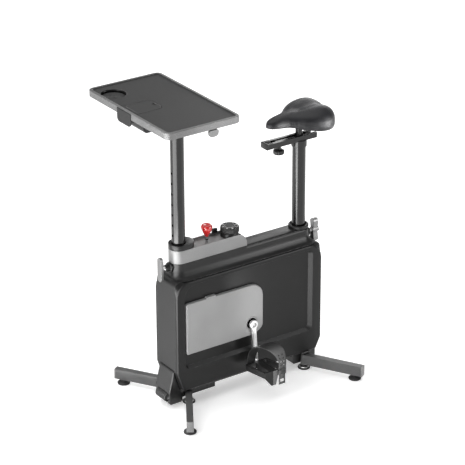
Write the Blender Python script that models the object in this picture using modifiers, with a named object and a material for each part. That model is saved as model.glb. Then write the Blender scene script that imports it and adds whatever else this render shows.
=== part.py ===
# Desk exercise bike: metres, +Z up, +X to the saddle end, the drive cover on the -Y side.
# Shapes are drawn about the middle of the body, and the empty named bike carries them all.
import math

import bmesh
import bpy
from mathutils import Matrix, Vector

# Clearances
GAP = 0.0003
RUNNING = 0.0005
WELD = 0.000001

# Facets of round shapes
TUBE_SIDES = 24
KNOB_SIDES = 24
SMALL_SIDES = 16

# Body
BODY_LENGTH = 0.642
BODY_END = BODY_LENGTH / 2
BODY_WIDTH = 0.145
BODY_BOTTOM = 0.072
SHOULDER = 0.507
SHOULDER_RADIUS = 0.058
CORE_TOP_RADIUS = 0.022
CORE_RISE = 0.0035
GROOVE = 0.002
PANEL_THICKNESS = 0.0145
PANEL_EDGE = 0.006
WALL = 0.004
FRONT_CUT = 0.025
FRONT_CUT_HEIGHT = 0.150
REAR_CUT = 0.022
REAR_CUT_HEIGHT = 0.119
CUT_RADIUS = 0.020

# Neck on top of the body
NECK_TOP = 0.5635
NECK_RADIUS = 0.037
NECK_INSET = 0.020
NECK_HALF_LENGTH = BODY_END - NECK_INSET
NECK_EDGE = 0.013
FLARE_HEIGHT = 0.038
FLARE_OUT = 0.031
FLARE_LONG = 0.008

# Recess in the side panels
RECESS_DEPTH = 0.0122
RECESS_FRONT_MARGIN = 0.033
RECESS_FRONT = RECESS_FRONT_MARGIN - BODY_END
RECESS_REAR_MARGIN = 0.041
RECESS_REAR = BODY_END - RECESS_REAR_MARGIN
RECESS_TOP = 0.491
RECESS_BOTTOM = 0.158
RECESS_DRAFT = 0.005
RECESS_LOW_DRAFT = 0.010
RECESS_REAR_DRAFT = 0.014
RECESS_CORNER = 0.046
RECESS_SMALL_CORNER = 0.022

# Silver cover over the drive
COVER_FRONT_GAP = 0.0065
COVER_FRONT = RECESS_FRONT + COVER_FRONT_GAP
COVER_REAR = 0.053
COVER_TOP = 0.420
COVER_BOTTOM = 0.218
COVER_PROUD = 0.002
COVER_WALL = 0.0025
COVER_RADIUS = 0.050
TAB_LENGTH = 0.040
TAB_START = -0.194
TAB_HEIGHT = 0.005

# Posts and their sleeves
POST_RADIUS = 0.025
POST_WALL = 0.002
SLEEVE_WALL = 0.0035
DESK_POST_INSET = 0.0365
SEAT_POST_INSET = 0.0370
DESK_POST_X = DESK_POST_INSET - NECK_HALF_LENGTH
SEAT_POST_X = NECK_HALF_LENGTH - SEAT_POST_INSET
DESK_POST_LOW = 0.455
SLEEVE_LOW = 0.088
DESK_POST_DROP = 0.020
SEAT_POST_LOW = 0.300
SEAT_POST_HIGH = 0.905
HOLE_PITCH = 0.040
HOLE_RADIUS = 0.005
DESK_PIN_Z = 0.548
SEAT_PIN_Z = 0.531
DESK_HOLES_UP = 9
SEAT_HOLES_UP = 5

# Control housing on the neck
CONSOLE_BASE = 0.5655
CONSOLE_TOP = 0.616
CONSOLE_REAR = 0.008
CONSOLE_REAR_RADIUS = 0.040
CONSOLE_FLOOR = 0.605
CONSOLE_RIM = 0.003
CONSOLE_RECESS_AFTER = 0.0645
CONSOLE_RECESS_FRONT = DESK_POST_X + CONSOLE_RECESS_AFTER
CONSOLE_RECESS_REAR = -0.0092
DESK_COLLAR_LENGTH = 0.096
DESK_COLLAR_TOP = 0.636
SEAT_COLLAR_RADIUS = 0.038
SEAT_COLLAR_TOP = 0.574
COLLAR_EDGE = 0.003

# Dial and brake knob
DIAL_X = -0.043
DIAL_RADIUS = 0.0355
DIAL_TOP = 0.6455
DIAL_BASE_HEIGHT = 0.0175
BLOCK_AHEAD = 0.054
BLOCK_LENGTH = 0.011
BLOCK_WIDTH = 0.014
BLOCK_HEIGHT = 0.029
DIAL_SHAFT_RADIUS = 0.004
KNOB_X = -0.143
KNOB_RADIUS = 0.0215
KNOB_LOW = 0.628
KNOB_HIGH = 0.680
BRAKE_ROD_RADIUS = 0.005
BRAKE_TRAVEL = 0.008
BRAKE_PAD_SIZE = 0.024
BRAKE_PAD_HEIGHT = 0.012

# Drive
CRANK_X = 0.002
CRANK_Z = 0.266
CRANK_LENGTH = 0.155
CRANK_LEAN = math.radians(3)
CRANK_INNER = 0.080
CRANK_THICKNESS = 0.012
CRANK_HUB_RADIUS = 0.0165
CRANK_AXLE_RADIUS = 0.008
HUB_HOLE_RADIUS = 0.027
SHELL_RADIUS = 0.023
BEARING_RADIUS = 0.017
BEARING_WIDTH = 0.010
SHELL_NEAR = -0.044
SHELL_FAR = 0.005
PULLEY_RADIUS = 0.075
PULLEY_NEAR = 0.009
PULLEY_FAR = 0.021
PULLEY_FLANGE = 0.001
PULLEY_LIP = 0.005
BELT_THICKNESS = 0.003
FLYWHEEL_X = -0.120
FLYWHEEL_Z = 0.300
FLYWHEEL_RADIUS = 0.090
FLYWHEEL_NEAR = -0.021
FLYWHEEL_HUB = 0.005
FLYWHEEL_PULLEY_RADIUS = 0.020
FLYWHEEL_AXLE_RADIUS = 0.006
MAGNET_GAP = 0.004
MAGNET_THICKNESS = 0.007
MAGNET_PIVOT = (-0.040, 0.405)
MAGNET_PIN_RADIUS = 0.004

# Frame inside the body
BEAM_LOW = 0.440
BEAM_HIGH = 0.468
BEAM_HALF_WIDTH = 0.029
BRACKET_THICKNESS = 0.005
BRACKET_HALF_LENGTH = 0.014
STAY_HALF_LENGTH = 0.012

# Pedals and straps
PEDAL_INNER = 0.103
PEDAL_OUTER = 0.205
PEDAL_LENGTH = 0.098
PEDAL_SKEW = 0.20
PEDAL_HEIGHT = 0.022
PEDAL_BAR = 0.009
PEDAL_WEIGHT_DROP = 0.036
PEDAL_WEIGHT_FRONT = 0.038
PEDAL_WEIGHT_REAR = 0.018
PEDAL_PROUD = 0.0008
SPINDLE_RADIUS = 0.0065
STRAP_FRONT_EDGE = (-0.050, -0.040, 0.018)
STRAP_REAR_EDGE = (-0.014, 0.030, 0.050)
STRAP_LEAN = 0.12
STRAP_FOOT = -0.008
STRAP_STRAIGHT = 0.022
STRAP_THICKNESS = 0.0024
STRAP_HEIGHT = 0.096
TAB_LOW = -0.050
TAB_WIDTH = 0.030

# Base and legs
BASE_PLATE_LOW = 0.0603
BASE_HALF_WIDTH = 0.056
BASE_HALF_LENGTH = 0.292
TOE_AHEAD = 0.021
TOE_FRONT = -BODY_END - TOE_AHEAD
TOE_TOP = 0.154
TOE_BREAK = 0.067
TOE_BOTTOM = 0.018
TOE_BEHIND = 0.035
TOE_REAR = TOE_BEHIND - BODY_END
TOE_HALF_WIDTH = 0.046
TOE_EDGE = 0.007
TOE_SHIN_RADIUS = 0.020
BEAM_FOOT_REAR = -0.124
ROLLER_EAR_RADIUS = 0.010
BEAM_FOOT_HALF_WIDTH = 0.018
REAR_BLOCK_BEHIND = 0.109
REAR_BLOCK_FRONT = BODY_END - REAR_BLOCK_BEHIND
REAR_BLOCK_INSET = 0.006
REAR_BLOCK_REAR = BODY_END - REAR_BLOCK_INSET
REAR_BLOCK_HALF_WIDTH = 0.044
ROLLER_AHEAD = 0.016
ROLLER_X = -BODY_END - ROLLER_AHEAD
ROLLER_Z = 0.043
ROLLER_RADIUS = 0.018
ROLLER_HALF_WIDTH = 0.031
ROLLER_PIN_RADIUS = 0.004
LEG_LOW = 0.018
LEG_HEIGHT = 0.040
LEG_WIDTH = 0.025
LEG_END = 0.032
LEG_CORNER = 0.006
FOOT_RADIUS = 0.024
FOOT_HEIGHT = 0.008
FOOT_STEM_RADIUS = 0.009
PIVOT_BOLT_RADIUS = 0.006
FRONT_PIVOT_INSET = 0.071
FRONT_PIVOT = (FRONT_PIVOT_INSET - BODY_END, 0.033)
FRONT_LEG_LENGTH = 0.2265
FRONT_LEG_ANGLE = math.radians(122.3)
REAR_PIVOT_INSET = 0.068
REAR_PIVOT = (BODY_END - REAR_PIVOT_INSET, 0.0595)
REAR_LEG_LENGTH = 0.208
REAR_LEG_ANGLE = math.radians(59.7)

# Tray
TRAY_AHEAD = 0.2041
TRAY_FRONT = DESK_POST_X - TRAY_AHEAD
TRAY_BEHIND = 0.0959
TRAY_REAR = DESK_POST_X + TRAY_BEHIND
TRAY_HALF_WIDTH = 0.260
TRAY_TOP = 1.184
TRAY_RIM_HEIGHT = 0.025
TRAY_RIM_WIDTH = 0.010
TRAY_LEDGE = 0.019
TRAY_CORNER = 0.022
TRAY_LEAST_CORNER = 0.007
TRAY_LIP = 0.004
TRAY_THICKNESS = 0.016
CUP_INSET = 0.0536
CUP_X = TRAY_FRONT + CUP_INSET
CUP_Y = 0.171
CUP_RADIUS = 0.047
CUP_DEPTH = 0.011
PANEL_RIB = 0.006
PANEL_SKIN = 0.004
STAND_INSET = 0.0151
STAND_FRONT = TRAY_FRONT + STAND_INSET
STAND_REACH = 0.1316
STAND_REAR = TRAY_FRONT + STAND_REACH
STAND_NEAR = -0.040
STAND_FAR = 0.055
STAND_THICKNESS = 0.005
STAND_PIN_LENGTH = 0.004
PLATE_NEAR = -0.030
PLATE_FAR = 0.057
PLATE_HEIGHT = 0.052
PLATE_PROUD = 0.002
BOX_AHEAD = 0.1555
BOX_FRONT = DESK_POST_X - BOX_AHEAD
BOX_CLEAR = 0.0375
BOX_REAR = DESK_POST_X - BOX_CLEAR
BOX_NEAR = -0.031
BOX_FAR = 0.060
BOX_HEIGHT = 0.086
TILT_DROP = 0.044
TILT_ROD_RADIUS = 0.006
LUG_RADIUS = 0.0105
LUG_INNER = 0.016
LUG_THICKNESS = 0.006
CHEEK_THICKNESS = 0.005
LEVER_AHEAD = 0.0295
LEVER_FRONT = DESK_POST_X - LEVER_AHEAD
LEVER_BEHIND = 0.0105
LEVER_REAR = DESK_POST_X + LEVER_BEHIND
LEVER_OUTER = 0.248
LEVER_THICKNESS = 0.008
LEVER_DROP = 0.014
LEVER_RISE = 0.010

# Seat rail and saddle
RAIL_AHEAD = 0.149
RAIL_FRONT = SEAT_POST_X - RAIL_AHEAD
RAIL_BEHIND = 0.066
RAIL_REAR = SEAT_POST_X + RAIL_BEHIND
RAIL_HALF_WIDTH = 0.0205
RAIL_LOW = 0.908
RAIL_HIGH = 0.928
RAIL_WALL = 0.003
RAIL_SLOT_HALF_WIDTH = 0.009
RAIL_CAP = 0.006
RAIL_CUP_DEPTH = 0.022
RAIL_CUP_WALL = 0.004
RAIL_PLUG = 0.004
SLIDER_AHEAD = 0.106
SLIDER_FRONT = SEAT_POST_X - SLIDER_AHEAD
SLIDER_BEHIND = 0.028
SLIDER_REAR = SEAT_POST_X + SLIDER_BEHIND
STEM_AHEAD = 0.002
STEM_X = SEAT_POST_X - STEM_AHEAD
STEM_RADIUS = 0.0125
STEM_FLANGE = 0.006
SLIDER_KNOB_AHEAD = 0.091
SLIDER_KNOB_X = SEAT_POST_X - SLIDER_KNOB_AHEAD
SLIDER_KNOB_RADIUS = 0.0205
SLIDER_KNOB_LOW = 0.873
SLIDER_KNOB_HIGH = 0.889
SLIDER_KNOB_SCREW = 0.005
SADDLE_TRAVEL_FRONT = -0.038
SADDLE_TRAVEL_REAR = 0.030
SADDLE_AHEAD = 0.149
SADDLE_NOSE = SEAT_POST_X - SADDLE_AHEAD
SADDLE_LENGTH = 0.270
SADDLE_HALF_WIDTH = 0.120
SADDLE_BASE = 0.985
SADDLE_SHELL = 0.005
SADDLE_TOP = 1.038
SADDLE_SKIRT = 0.019
SADDLE_SHELL_SHARE = 0.54

# Pin handles
PIN_RADIUS = 0.0045
BOSS_RADIUS = 0.0165
BOSS_FLANGE_RADIUS = 0.0195
BOSS_NOSE_RADIUS = 0.0145
DESK_BOSS_FLANGE = 0.0075
DESK_BOSS_NOSE = 0.013
T_HANDLE_OUT = 0.036
T_HANDLE_X = NECK_HALF_LENGTH + T_HANDLE_OUT
T_HANDLE_THICKNESS = 0.010
T_HANDLE_WIDTH = 0.026
T_HANDLE_HEIGHT = 0.092
SEAT_BOSS_FLANGE = 0.004
SEAT_BOSS_NOSE = 0.007
LOBE_OUT = 0.026
LOBE_X = NECK_HALF_LENGTH + LOBE_OUT
LOBE_THICKNESS = 0.020
LOBE_HEIGHT = 0.092
LOBE_RADIUS = 0.013

# Heights and widths that follow from the sizes above
TRAY_SURFACE = TRAY_TOP - TRAY_LIP
TRAY_FLOOR = TRAY_SURFACE - TRAY_THICKNESS
PLATE_LOW = TRAY_TOP - PLATE_HEIGHT
BOX_LOW = TRAY_TOP - BOX_HEIGHT
TILT_Z = TRAY_TOP - TILT_DROP
LEVER_LOW = TILT_Z - LEVER_DROP
LEVER_HIGH = TILT_Z + LEVER_RISE
DESK_POST_HIGH = TILT_Z - DESK_POST_DROP
CORE_HALF_WIDTH = BODY_WIDTH / 2 - PANEL_THICKNESS
SLEEVE_BORE = POST_RADIUS + RUNNING
SLEEVE_RADIUS = SLEEVE_BORE + SLEEVE_WALL
STEM_TOP = SADDLE_BASE - SADDLE_SHELL - 2 * GAP
MAGNET_LUG_NEAR = DIAL_SHAFT_RADIUS + RUNNING + 0.001

for old in list(bpy.data.objects):
    bpy.data.objects.remove(old, do_unlink=True)

PARTS = bpy.data.collections.new("desk_exercise_bike")
CUTTERS = bpy.data.collections.new("cutters")
BIKE = bpy.data.objects.new("bike", None)
PARTS.objects.link(BIKE)


# Shapes

def closed(bm):
    mesh = bpy.data.meshes.new("shape")
    bmesh.ops.recalc_face_normals(bm, faces=bm.faces)
    bm.to_mesh(mesh)
    bm.free()
    return mesh


def baked(obj):
    """The mesh that a curve or a modifier makes, with its seams welded."""
    bpy.context.scene.collection.objects.link(obj)
    graph = bpy.context.evaluated_depsgraph_get()
    mesh = bpy.data.meshes.new_from_object(obj.evaluated_get(graph))
    bpy.data.objects.remove(obj, do_unlink=True)
    bm = bmesh.new()
    bm.from_mesh(mesh)
    bmesh.ops.remove_doubles(bm, verts=bm.verts, dist=WELD)
    return closed(bm)


def box(low, high):
    bm = bmesh.new()
    bmesh.ops.create_cube(bm, size=1.0)
    size = Vector(high) - Vector(low)
    bmesh.ops.scale(bm, vec=size, verts=bm.verts)
    bmesh.ops.translate(bm, vec=(Vector(high) + Vector(low)) / 2, verts=bm.verts)
    return closed(bm)


def rod(start, end, radius, end_radius=None, sides=SMALL_SIDES):
    """A cylinder, or a cone where the end radius differs."""
    start, end = Vector(start), Vector(end)
    bm = bmesh.new()
    bmesh.ops.create_cone(
        bm,
        cap_ends=True,
        segments=sides,
        radius1=radius,
        radius2=radius if end_radius is None else end_radius,
        depth=(end - start).length,
    )
    turn = Vector((0, 0, 1)).rotation_difference(end - start).to_matrix().to_4x4()
    bmesh.ops.transform(bm, matrix=Matrix.Translation((start + end) / 2) @ turn, verts=bm.verts)
    return closed(bm)


def rounded(corners, steps=5):
    """Points of a closed outline whose corners (a, b, radius) are arcs."""
    points = []
    for i, (a, b, radius) in enumerate(corners):
        here = Vector((a, b))
        if radius == 0:
            points.append((a, b))
            continue
        before = (Vector(corners[i - 1][:2]) - here).normalized()
        after = (Vector(corners[(i + 1) % len(corners)][:2]) - here).normalized()
        half = before.angle(after) / 2
        centre = here + (before + after).normalized() * (radius / math.sin(half))
        first = here + before * (radius / math.tan(half)) - centre
        last = here + after * (radius / math.tan(half)) - centre
        start = math.atan2(first.y, first.x)
        sweep = (math.atan2(last.y, last.x) - start + math.pi) % math.tau - math.pi
        for step in range(steps + 1):
            angle = start + sweep * step / steps
            points.append((centre.x + radius * math.cos(angle), centre.y + radius * math.sin(angle)))
    return points


def rectangle(low_a, high_a, low_b, high_b, radius=0, steps=5):
    return rounded(
        [
            (low_a, low_b, radius),
            (high_a, low_b, radius),
            (high_a, high_b, radius),
            (low_a, high_b, radius),
        ],
        steps,
    )


def circle(a, b, radius, sides=TUBE_SIDES):
    points = []
    for i in range(sides):
        angle = math.tau * (i + 0.5) / sides
        points.append((a + radius * math.cos(angle), b + radius * math.sin(angle)))
    return points


# An outline's own plane, turned so that it is extruded along X, Y or Z
PLANES = {
    "X": Matrix(((0, 0, 1, 0), (1, 0, 0, 0), (0, 1, 0, 0), (0, 0, 0, 1))),
    "Y": Matrix(((1, 0, 0, 0), (0, 0, -1, 0), (0, 1, 0, 0), (0, 0, 0, 1))),
    "Z": Matrix.Identity(4),
}


def plate(outlines, low, high, along):
    """A flat outline, with its holes after it, extruded from low to high along an axis."""
    curve = bpy.data.curves.new("outline", "CURVE")
    curve.dimensions = "2D"
    curve.fill_mode = "BOTH"
    curve.extrude = (high - low) / 2
    for points in outlines:
        spline = curve.splines.new("POLY")
        spline.points.add(len(points) - 1)
        for point, (a, b) in zip(spline.points, points):
            point.co = (a, b, 0, 1)
        spline.use_cyclic_u = True
    mesh = baked(bpy.data.objects.new("outline", curve))
    middle = -(low + high) / 2 if along == "Y" else (low + high) / 2
    mesh.transform(PLANES[along] @ Matrix.Translation((0, 0, middle)))
    return mesh


def turned(profile, at=(0, 0, 0), along="Z", sides=KNOB_SIDES):
    """A profile of (radius, height) from top to bottom, turned about an axis through a point."""
    mesh = bpy.data.meshes.new("profile")
    edges = [(i, i + 1) for i in range(len(profile) - 1)]
    if profile[0][0] > 0:
        edges.append((len(profile) - 1, 0))
    upward = -1 if along == "Y" else 1
    mesh.from_pydata([(radius, 0, upward * height) for radius, height in profile], edges, [])
    obj = bpy.data.objects.new("profile", mesh)
    screw = obj.modifiers.new("turn", "SCREW")
    screw.steps = screw.render_steps = sides
    screw.use_merge_vertices = True
    screw.merge_threshold = WELD
    shape = baked(obj)
    shape.transform(Matrix.Translation(at) @ PLANES[along])
    return shape


def loft(sections):
    """A solid through closed sections of equal count."""
    bm = bmesh.new()
    rings = [[bm.verts.new(point) for point in section] for section in sections]
    for lower, upper in zip(rings, rings[1:]):
        for i in range(len(lower)):
            j = (i + 1) % len(lower)
            bm.faces.new((lower[i], lower[j], upper[j], upper[i]))
    bm.faces.new(rings[0])
    bm.faces.new(rings[-1])
    return closed(bm)


def mirrored(mesh):
    """The same shape on the other side of the bike."""
    other = mesh.copy()
    other.transform(Matrix.Scale(-1, 4, (0, 1, 0)))
    other.flip_normals()
    return other


def spun(mesh, at, axis, angle):
    """The shape turned about an axis through a point."""
    place = Matrix.Translation(at)
    mesh.transform(place @ Matrix.Rotation(angle, 4, axis) @ place.inverted())
    return mesh


# Objects

def finish(name, colour, roughness, metallic=0.0):
    material = bpy.data.materials.new(name)
    material.use_nodes = True
    shader = material.node_tree.nodes["Principled BSDF"]
    shader.inputs["Base Color"].default_value = (*colour, 1)
    shader.inputs["Roughness"].default_value = roughness
    shader.inputs["Metallic"].default_value = metallic
    return material


def piece(name, mesh, material, pivot=(0, 0, 0)):
    """A named part, with its origin on its pivot."""
    mesh.name = name
    mesh.transform(Matrix.Translation(-Vector(pivot)))
    mesh.materials.append(material)
    mesh.shade_smooth()
    mesh.set_sharp_from_angle(angle=math.radians(35))
    obj = bpy.data.objects.new(name, mesh)
    obj.location = pivot
    obj.parent = BIKE
    PARTS.objects.link(obj)
    return obj


def combine(owner, mesh, operation):
    tool = bpy.data.objects.new(f"{owner.name}_{operation.lower()}", mesh)
    tool.parent = BIKE
    tool.hide_render = True
    tool.display_type = "WIRE"
    CUTTERS.objects.link(tool)
    boolean = owner.modifiers.new(operation.lower(), "BOOLEAN")
    boolean.operation = operation
    boolean.object = tool


def add(owner, *meshes):
    for mesh in meshes:
        combine(owner, mesh, "UNION")


def cut(owner, *meshes):
    for mesh in meshes:
        combine(owner, mesh, "DIFFERENCE")


def soften(owner, width, segments=2, angle=40):
    """Rounds the edges made so far that turn by more than an angle."""
    bevel = owner.modifiers.new("soften", "BEVEL")
    bevel.width = width
    bevel.segments = segments
    bevel.limit_method = "ANGLE"
    bevel.angle_limit = math.radians(angle)


BLACK_PLASTIC = finish("black_plastic", (0.045, 0.045, 0.047), 0.55)
DARK_PANEL = finish("dark_panel", (0.035, 0.035, 0.037), 0.50)
SILVER_PAINT = finish("silver_paint", (0.40, 0.40, 0.41), 0.35, 0.6)
BLACK_METAL = finish("black_metal", (0.040, 0.040, 0.043), 0.32, 0.5)
GREY_METAL = finish("grey_metal", (0.16, 0.16, 0.17), 0.38, 0.7)
STEEL = finish("steel", (0.62, 0.62, 0.63), 0.25, 1.0)
RED_PLASTIC = finish("red_plastic", (0.72, 0.02, 0.02), 0.22)
RUBBER = finish("rubber", (0.015, 0.015, 0.016), 0.75)
TRAY_SKIN = finish("tray_skin", (0.075, 0.075, 0.077), 0.60)
LEATHER = finish("saddle_cover", (0.035, 0.036, 0.040), 0.42)


# Body shells

def body_outline(inset, corner, rise=0):
    """The side outline of the body, drawn in by an inset."""
    half = BODY_LENGTH / 2 - inset
    top = SHOULDER + rise - inset
    bottom = BODY_BOTTOM + inset
    return rounded(
        [
            (-half, top, corner),
            (-half, FRONT_CUT_HEIGHT, CUT_RADIUS),
            (FRONT_CUT - half, bottom, WALL),
            (half - REAR_CUT, bottom, WALL),
            (half, REAR_CUT_HEIGHT, CUT_RADIUS),
            (half, top, corner),
        ],
        steps=5,
    )


def neck_section(half_length, half_width, z, radius):
    outline = rectangle(-half_length, half_length, -half_width, half_width, radius, steps=5)
    return [(a, b, z) for a, b in outline]


def neck():
    """The neck: a flare that sweeps up to straight sides, and a rounded top edge."""
    sections = []
    for step in range(6):
        angle = math.radians(90 - 18 * step)
        out = 1 - math.cos(angle)
        half_width = NECK_RADIUS + FLARE_OUT * out
        sections.append(
            neck_section(
                NECK_HALF_LENGTH + FLARE_LONG * out,
                half_width,
                SHOULDER + GROOVE + FLARE_HEIGHT * (1 - math.sin(angle)),
                0.97 * NECK_RADIUS + 0.25 * (half_width - NECK_RADIUS),
            )
        )
    for step in range(5):
        angle = math.radians(22.5 * step)
        drawn_in = NECK_EDGE * (1 - math.cos(angle))
        sections.append(
            neck_section(
                NECK_HALF_LENGTH - drawn_in,
                NECK_RADIUS - drawn_in,
                NECK_TOP - NECK_EDGE * (1 - math.sin(angle)),
                0.97 * (NECK_RADIUS - drawn_in),
            )
        )
    return loft(sections)


def neck_plan(inset, rear):
    """The neck seen from above, from its round front end to a square rear end."""
    half = NECK_RADIUS - inset
    front = -NECK_HALF_LENGTH + inset
    return rounded([(front, -half, half * 0.98), (rear, -half, 0), (rear, half, 0), (front, half, half * 0.98)], 8)


def centre_housing():
    ring = [body_outline(0, CORE_TOP_RADIUS, CORE_RISE), body_outline(WALL, CORE_TOP_RADIUS - WALL, CORE_RISE)]
    side = CORE_HALF_WIDTH - GAP
    housing = piece("centre_housing", plate(ring, -side, side, "Y"), BLACK_PLASTIC)
    inside = rectangle(
        WALL - NECK_HALF_LENGTH,
        NECK_HALF_LENGTH - WALL,
        WALL - NECK_RADIUS,
        NECK_RADIUS - WALL,
        0.95 * (NECK_RADIUS - WALL),
    )
    add(housing, neck(), plate([neck_plan(0.0004, CONSOLE_REAR)], NECK_TOP - 0.02, CONSOLE_BASE, "Z"))
    cut(housing, plate([inside], SHOULDER - 0.012, NECK_TOP - WALL, "Z"))
    for x in (DESK_POST_X, SEAT_POST_X):
        cut(housing, rod((x, 0, NECK_TOP - 0.01), (x, 0, CONSOLE_BASE + 0.01), SLEEVE_BORE, sides=TUBE_SIDES))
    for x, radius in ((KNOB_X, BRAKE_ROD_RADIUS), (DIAL_X, DIAL_SHAFT_RADIUS)):
        cut(housing, rod((x, 0, NECK_TOP - 0.01), (x, 0, CONSOLE_BASE + 0.01), radius + RUNNING))
    for side, z in ((-1, DESK_PIN_Z), (1, SEAT_PIN_Z)):
        end = (side * BODY_LENGTH / 2, 0, z)
        seat = side * (NECK_HALF_LENGTH + 0.0002)
        cut(
            housing,
            rod((side * (NECK_HALF_LENGTH - 0.02), 0, z), end, BOSS_RADIUS + GAP, sides=TUBE_SIDES),
            rod((seat, 0, z), end, BOSS_FLANGE_RADIUS + 2 * GAP, sides=TUBE_SIDES),
        )


def recess_corners(share):
    """The recess outline, drawn in by a share of the slope of its walls."""
    draft = RECESS_DRAFT * share
    front = RECESS_FRONT + draft
    rear = RECESS_REAR - RECESS_REAR_DRAFT * share
    low = RECESS_BOTTOM + RECESS_LOW_DRAFT * share
    high = RECESS_TOP - draft
    return rounded(
        [
            (front, low, RECESS_SMALL_CORNER - draft),
            (rear, low, RECESS_SMALL_CORNER - draft),
            (rear, high, RECESS_SMALL_CORNER - draft),
            (front, high, RECESS_CORNER - draft),
        ],
        steps=6,
    )


def side_panel(name, side):
    """A moulded panel with a rounded rim and a shallow recess with sloping walls."""
    inner = CORE_HALF_WIDTH
    outer = BODY_WIDTH / 2
    sections = [[(a, -inner, b) for a, b in body_outline(0, CORE_TOP_RADIUS)]]
    for step in range(4):
        angle = math.radians(30 * step)
        inset = PANEL_EDGE * (1 - math.cos(angle))
        y = outer - PANEL_EDGE * (1 - math.sin(angle))
        sections.append([(a, -y, b) for a, b in body_outline(inset, SHOULDER_RADIUS - inset)])
    past = 0.2
    recess = loft(
        [
            [(a, -outer - RECESS_DEPTH * past, b) for a, b in recess_corners(-past)],
            [(a, RECESS_DEPTH - outer, b) for a, b in recess_corners(1)],
        ]
    )
    panel = loft(sections)
    hub = HUB_HOLE_RADIUS + 0.006 if side < 0 else HUB_HOLE_RADIUS
    hole = rod((CRANK_X, 0, CRANK_Z), (CRANK_X, -2 * outer, CRANK_Z), hub, sides=TUBE_SIDES)
    if side > 0:
        panel, recess, hole = mirrored(panel), mirrored(recess), mirrored(hole)
    shell = piece(name, panel, DARK_PANEL)
    cut(shell, recess)
    if side > 0:
        deep = RECESS_DEPTH + 0.001
        boss = [(hub + 0.012, 0.002), (hub + 0.018, deep), (0.01, deep), (0.01, 0.002)]
        add(shell, turned([(r, outer - h) for r, h in boss], (CRANK_X, 0, CRANK_Z), "Y"))
    cut(shell, hole)


def cover_outline(inset):
    drop = 0.022
    draw = 0.038
    return rounded(
        [
            (COVER_FRONT + inset, COVER_TOP - inset, 0.008),
            (COVER_FRONT + inset, COVER_BOTTOM + inset, 0.008),
            (COVER_REAR - draw, COVER_BOTTOM + inset, 0.030),
            (COVER_REAR - inset, COVER_BOTTOM + drop + inset, 0.024),
            (COVER_REAR - inset, COVER_TOP - inset, COVER_RADIUS - inset),
        ],
        steps=5,
    )


def near_side_cover():
    """The silver cover: a thin tray-like shell with a hub hole and a lift tab."""
    back = BODY_WIDTH / 2 - RECESS_DEPTH + GAP
    face = BODY_WIDTH / 2 + COVER_PROUD
    sections = [[(a, -back, b) for a, b in cover_outline(0)]]
    for inset in (0, 0.0006, 0.0018):
        y = face - 0.0018 + inset
        sections.append([(a, -y, b) for a, b in cover_outline(inset)])
    cover = piece("near_side_cover", loft(sections), SILVER_PAINT)
    tab = (TAB_START, -face + 0.001, COVER_TOP - 0.002)
    add(cover, box(tab, (TAB_START + TAB_LENGTH, -back, COVER_TOP + TAB_HEIGHT)))
    hollow = plate([cover_outline(COVER_WALL)], -face + COVER_WALL, -back + 0.004, "Y")
    cut(cover, hollow)
    ring = HUB_HOLE_RADIUS + 0.004
    add(cover, turned([(ring, -back), (ring, -face + 0.001), (0.02, -face + 0.001), (0.02, -back)], (CRANK_X, 0, CRANK_Z), "Y", TUBE_SIDES))
    cut(cover, rod((CRANK_X, -0.05, CRANK_Z), (CRANK_X, -0.09, CRANK_Z), HUB_HOLE_RADIUS, sides=TUBE_SIDES))


def console():
    low = CONSOLE_BASE + GAP
    housing = piece("console_housing", plate([neck_plan(0, CONSOLE_REAR)], low, CONSOLE_TOP, "Z"), SILVER_PAINT)
    side_view = rounded(
        [
            (-2 * NECK_HALF_LENGTH, low - 0.01, 0),
            (CONSOLE_REAR, low - 0.01, 0),
            (CONSOLE_REAR, CONSOLE_TOP, CONSOLE_REAR_RADIUS),
            (-2 * NECK_HALF_LENGTH, CONSOLE_TOP, 0),
        ],
        steps=8,
    )
    combine(housing, plate([side_view], -2 * NECK_RADIUS, 2 * NECK_RADIUS, "Y"), "INTERSECT")
    soften(housing, 0.0015, 2)
    half = NECK_RADIUS - CONSOLE_RIM
    top_recess = rectangle(CONSOLE_RECESS_FRONT, CONSOLE_RECESS_REAR, -half, half, 0.004, steps=2)
    cut(housing, plate([top_recess], CONSOLE_FLOOR, CONSOLE_TOP + 0.01, "Z"))
    under = rectangle(CONSOLE_RECESS_FRONT - 0.02, CONSOLE_RECESS_REAR + 0.002, -half, half, 0.004, steps=2)
    cut(housing, plate([under], low - 0.01, CONSOLE_FLOOR - WALL, "Z"))
    post = (DESK_POST_X, 0, low - 0.01)
    cut(housing, rod(post, (DESK_POST_X, 0, CONSOLE_TOP + 0.01), SLEEVE_BORE, sides=TUBE_SIDES))
    for x, radius in ((KNOB_X, BRAKE_ROD_RADIUS), (DIAL_X, DIAL_SHAFT_RADIUS)):
        cut(housing, rod((x, 0, low - 0.01), (x, 0, CONSOLE_TOP + 0.01), radius + RUNNING))


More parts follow.
